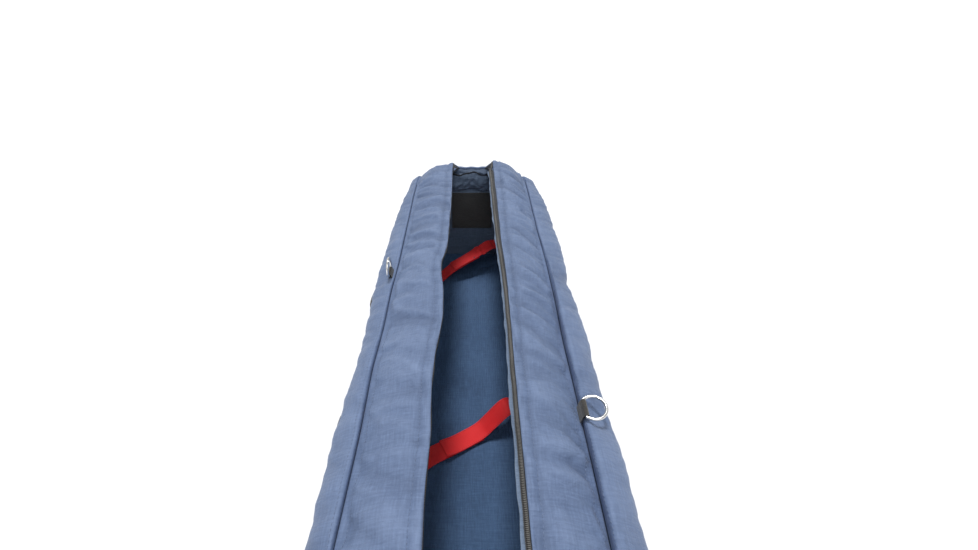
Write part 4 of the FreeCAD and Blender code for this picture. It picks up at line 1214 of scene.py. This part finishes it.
for i, (ym, lo_, up_) in enumerate(((-0.410, lowA, upA), (-0.042, lowB, upB), (0.410, lowC, upC)), 1):
    ob, G, Nv = strap("strap_%d_low" % i, lo_, ym, [RED, RED], seed=500 + i, wob=0.0012)
    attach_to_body(ob, "base")
    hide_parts("strap_%d_sewn" % i)
    # sewn-down end: a box of stitches
    c = np.array([0, ym, 0.0])
    zt = ZF + 0.0022
    a0, a1, b = -HALF + 0.003, -HALF + 0.017, 0.012
    pts = [UDIR * a0 + WDIR * b, UDIR * a1 + WDIR * b, UDIR * a1 - WDIR * b, UDIR * a0 - WDIR * b, UDIR * a0 + WDIR * b]
    lines = [(np.array([p + c + [0, 0, zt], q + c + [0, 0, zt]]), np.array([0, 0, 1.0])) for p, q in zip(pts[:-1], pts[1:])]
    lines += [(np.array([pts[0] + c + [0, 0, zt], pts[2] + c + [0, 0, zt]]), np.array([0, 0, 1.0])), (np.array([pts[1] + c + [0, 0, zt], pts[3] + c + [0, 0, zt]]), np.array([0, 0, 1.0]))]
    st = stitches("strap_%d_box_a" % i, lines, TH_RED, pitch=0.0036, length=0.0027)
    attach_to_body(st, "base")
    # anchor of the peeling half
    an, _, _ = strap("strap_%d_tab" % i, [(HS + 0.0022, ZF), (HS + 0.010, ZF), (HALF, ZF)], ym, [RED, RED], n=16)
    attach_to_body(an, "base")
    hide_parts("strap_%d_anchor" % i)
    a0, a1 = HS + 0.0045, HALF - 0.003
    pts = [UDIR * a0 + WDIR * b, UDIR * a1 + WDIR * b, UDIR * a1 - WDIR * b, UDIR * a0 - WDIR * b, UDIR * a0 + WDIR * b]
    lines = [(np.array([p + c + [0, 0, zt], q + c + [0, 0, zt]]), np.array([0, 0, 1.0])) for p, q in zip(pts[:-1], pts[1:])]
    lines += [(np.array([pts[0] + c + [0, 0, zt], pts[2] + c + [0, 0, zt]]), np.array([0, 0, 1.0])), (np.array([pts[1] + c + [0, 0, zt], pts[3] + c + [0, 0, zt]]), np.array([0, 0, 1.0]))]
    st = stitches("strap_%d_box_b" % i, lines, TH_RED, pitch=0.0036, length=0.0027)
    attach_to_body(st, "base")
    # peeling half
    up, G, Nv = strap("strap_%d_up" % i, up_, ym, [RED, RED], n=110, seed=510 + i, wob=0.0012, twist=(lambda s: 0.10 * smooth(0.03, 0.07, s) * smooth(HS, 0.07, s)) if i < 3 else (lambda s: 0.20 * smooth(-0.02, 0.04, s) * smooth(HS - 0.004, 0.06, s)))
    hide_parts("strap_%d_peel" % i)
    body = "strap_%d" % i
    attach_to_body(up, body)
    rows = slice(2, 104)
    lines = []
    for j in (1, 15):
        P = G[rows, j]
        lines.append((P, Nv[rows]))
    st = stitches("strap_%d_edge" % i, lines, TH_RED, pitch=0.0038, length=0.0028, r=0.00038)
    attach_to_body(st, body)
    # hook pad under the free end
    seg = [(p[0], p[1] - 0.0) for p in up_[:3]]
    hp, Gh, Nh = strap("strap_%d_hook" % i, [(seg[0][0] + 0.004, seg[0][1] - 0.0009), (seg[1][0], seg[1][1] - 0.0012), (seg[2][0] - 0.006, seg[2][1] - 0.0012)], ym, [HOOK, HOOK], width=0.025, t=0.0008, n=40)
    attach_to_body(hp, body)

# ---- rings, tabs
for side, s in SIDES:
    ring = NODES[side + "_ring"]
    ring.data.materials.clear()
    ring.data.materials.append(CHROME)
    for p in ring.data.polygons:
        p.use_smooth = True
    lo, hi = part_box(side + "_ring_tab")
    ym = (lo[1] + hi[1]) / 2
    # webbing wrapped round the bar, its tail sewn towards the seam
    bx, bz = s * 0.13218, 0.23826
    dr = float(drop(np.array([ym]), s)[0])
    r_in = 0.0021
    loc = [(r_in * math.cos(a), r_in * math.sin(a)) for a in np.radians(np.linspace(-60, 168, 21))]
    # from the tail's lower layer round the bar and back over it, down into the seam
    path = [(-0.0022, -0.0082 - dr * 0.6), (-0.0012, -0.0058 - dr * 0.2), (0.0002, -0.0036)] + loc
    path += [(-0.0030, -0.0018), (-0.0036, -0.0046 - dr * 0.15), (-0.0040, -0.0072 - dr * 0.45), (-0.0046, -0.0094 - dr * 0.75)]
    P = spline2(path, 70)
    pts3 = np.stack([s * (abs(bx) + P[:, 0]), np.full(70, ym), bz + P[:, 1]], 1)
    wv = np.linspace(-0.0102, 0.0102, 15)
    G = pts3[:, None, :] + np.array([0, 1.0, 0])[None, None, :] * wv[None, :, None]
    G[..., 1] += 0.0006 * noise(G[..., 0] * 200, G[..., 2] * 200, 600)
    ob = shell("ring_tab_" + side, G, -0.0011, [DARKWEB, DARKWEB], flip=s < 0)
    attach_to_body(ob, side + "_side")
    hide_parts(side + "_ring_tab")

# ---- grab handles
for side, s in SIDES:
    lo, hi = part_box(side + "_handle")
    hx = (lo[0] + hi[0]) / 2
    hz = 0.18858
    drop_z = hz - lo[2]
    hy, wb = 0.118, 0.0250
    # centre line of the loop: up one leg, across the grip, down the other, in the plane of the hinge
    rc = 0.0355
    path = [(-hy, 0.0), (-hy, -0.03), (-hy, -0.06), (-hy, -(drop_z - 0.0125 - rc))]
    for a in np.radians(np.linspace(180, 270, 9))[1:]:
        path.append((-(hy - rc) + rc * math.cos(a), -(drop_z - 0.0125 - rc) + rc * math.sin(a)))
    path += [(-0.05, -(drop_z - 0.0125)), (0.0, -(drop_z - 0.0125) - 0.0004)]
    full = path + [(-p[0], p[1]) for p in path[:-1][::-1]]
    P = spline2(full, 150)
    T = np.gradient(P, axis=0)
    T /= np.linalg.norm(T, axis=1, keepdims=True)
    Wd = np.stack([-T[:, 1], T[:, 0]], 1)
    L = np.concatenate([[0], np.cumsum(np.linalg.norm(np.diff(P, axis=0), axis=1))])
    mid = L[-1] / 2
    # each leg comes up out of its patch, folds over and hangs; it ripples a little
    dist = np.minimum(L, L[-1] - L)
    near_leg, far_leg = ((0.0080, 0.0045), (0.0055, 0.0030)) if s > 0 else ((0.0022, 0.0010), (0.0058, 0.0030))
    loop_o = np.where(L < mid, near_leg[0], far_leg[0]) * np.exp(-(((dist - 0.0120) / 0.0105) ** 2))
    loop_h = np.where(L < mid, near_leg[1], far_leg[1]) * np.exp(-(((dist - 0.0065) / 0.0085) ** 2))
    bow = loop_o + 0.0012 * noise(L * 14, 0 * L, 701 + s) * smooth(0, 0.02, dist)
    nw = 13
    w = np.linspace(-0.5, 0.5, nw)
    G = np.zeros((150, nw, 3))
    G[..., 1] = P[:, None, 0] + Wd[:, None, 0] * w[None, :] * wb
    G[..., 2] = hz + P[:, None, 1] + Wd[:, None, 1] * w[None, :] * wb + loop_h[:, None]
    G[..., 0] = hx + s * (0.0011 + bow[:, None] + 0.0010 * np.cos(w * np.pi)[None, :])
    ob = shell("handle_" + side, G, 0.0022, [BLACK, BLACK], flip=s > 0)
    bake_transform(ob)
    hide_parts(side + "_handle")
    # the grip: folded double and stitched along
    lines = []
    n3 = np.array([s, 0, 0.0])
    for j in (2, nw - 3):
        sel = slice(44, 106)
        lines.append((G[sel, j] + n3 * 0.0002, n3))
    st = stitches("handle_stitch_" + side, lines, TH_BLACK, pitch=0.0042, length=0.0030, r=0.0004)
    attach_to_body(st, side + "_handle")
    for end, k in ENDS:
        node = "%s_handle_%s_patch" % (side, end)
        lo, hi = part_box(node)
        yc = (lo[1] + hi[1]) / 2
        z0, z1 = lo[2] + 0.001, hi[2] - 0.001
        z = np.linspace(z0, z1, 24)
        y = np.linspace(yc - 0.0125, yc + 0.0125, 15)
        Yg, Zg = np.meshgrid(y, z)
        xs = 0.0
        # lies on the side panel's own surface
        Gs, Us, uts = side_grid(s, np.array([yc - 0.02, yc, yc + 0.02]))
        zz, xx_ = Gs[1, :, 2], np.abs(Gs[1, :, 0])
        jmax = int(np.argmax(xx_))
        xs = np.interp(Zg, zz[: jmax + 1], xx_[: jmax + 1])
        g = np.stack([s * (xs + 0.0016), Yg, Zg], 2)
        ob = shell("handle_patch_%s_%s" % (side, end), g, 0.0018, [BLACK, BLACK], flip=s < 0)
        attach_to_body(ob, side + "_side")
        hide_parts(node)
        q = 0.003
        cx = lambda yy_, zz_: np.array([s * (np.interp(zz_, zz, xx_) + 0.0018), yy_, zz_])
        ring4 = [(yc - 0.0125 + q, z0 + q), (yc + 0.0125 - q, z0 + q), (yc + 0.0125 - q, z1 - q), (yc - 0.0125 + q, z1 - q), (yc - 0.0125 + q, z0 + q)]
        lines = []
        for (ya, za), (yb, zb) in list(zip(ring4[:-1], ring4[1:])) + [(ring4[0], ring4[2]), (ring4[1], ring4[3])]:
            f = np.linspace(0, 1, 8)
            lines.append((np.array([[s * (np.interp(za + (zb - za) * t, zz[: jmax + 1], xx_[: jmax + 1]) + 0.0018), ya + (yb - ya) * t, za + (zb - za) * t] for t in f]), np.array([s, 0, 0.0])))
        st = stitches("handle_box_%s_%s" % (side, end), lines, TH_BLACK, pitch=0.0038, length=0.0028)
        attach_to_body(st, side + "_side")

# ---- slider and pull
for nm in ("zip_slider", "zip_pull"):
    o = NODES[nm]
    o.data.materials.clear()
    o.data.materials.append(GUN)
    bv = o.modifiers.new("round", "BEVEL")
    bv.width = 0.0004
    bv.segments = 3
    bv.limit_method = "ANGLE"

# ------------------------------------------------------------------ stage, light, camera
me = bpy.data.meshes.new("stage_floor")
me.from_pydata([(-40, -40, 0), (40, -40, 0), (40, 40, 0), (-40, 40, 0)], [], [(0, 1, 2, 3)])
fm = Mat("stage_floor")
fm.set(Base_Color=(0.95, 0.95, 0.955, 1), Roughness=1.0)
fm.b.inputs["Specular IOR Level"].default_value = 0.0
me.materials.append(fm.m)
floor = bpy.data.objects.new("stage_floor", me)
scene.collection.objects.link(floor)

world = bpy.data.worlds.new("world")
scene.world = world
world.use_nodes = True
bg = world.node_tree.nodes["Background"]
bg.inputs[0].default_value = (0.97, 0.985, 1.0, 1)
bg.inputs[1].default_value = 0.46


def sun(name, toward, power, angle, color=(1, 1, 1)):
    li = bpy.data.lights.new(name, "SUN")
    li.energy = power
    li.angle = math.radians(angle)
    li.color = color
    o = bpy.data.objects.new(name, li)
    scene.collection.objects.link(o)
    from mathutils import Vector as Vec
    o.rotation_euler = Vec(toward).to_track_quat("Z", "Y").to_euler()
    o.location = Vec(toward).normalized() * 3
    return o


sun("key", (-0.06, 0.42, 1.0), 2.02, 12, (1.0, 0.99, 0.975))
sun("front", (0.10, -0.80, 1.0), 0.76, 45, (0.98, 0.99, 1.0))

cam = bpy.data.cameras.new("camera")
cam.sensor_width = 36.0
cam.sensor_fit = "HORIZONTAL"
cam.lens = 400.0 / 978.0 * 36.0
cam.shift_x = 18.5 / 978.0
cam.clip_start = 0.01
co = bpy.data.objects.new("camera", cam)
scene.collection.objects.link(co)
co.location = (0, -0.386, 0.65)
co.rotation_euler = (math.radians(90 - 39.3), 0, 0)
scene.camera = co
scene.view_settings.view_transform = "Standard"
scene.view_settings.look = "None"
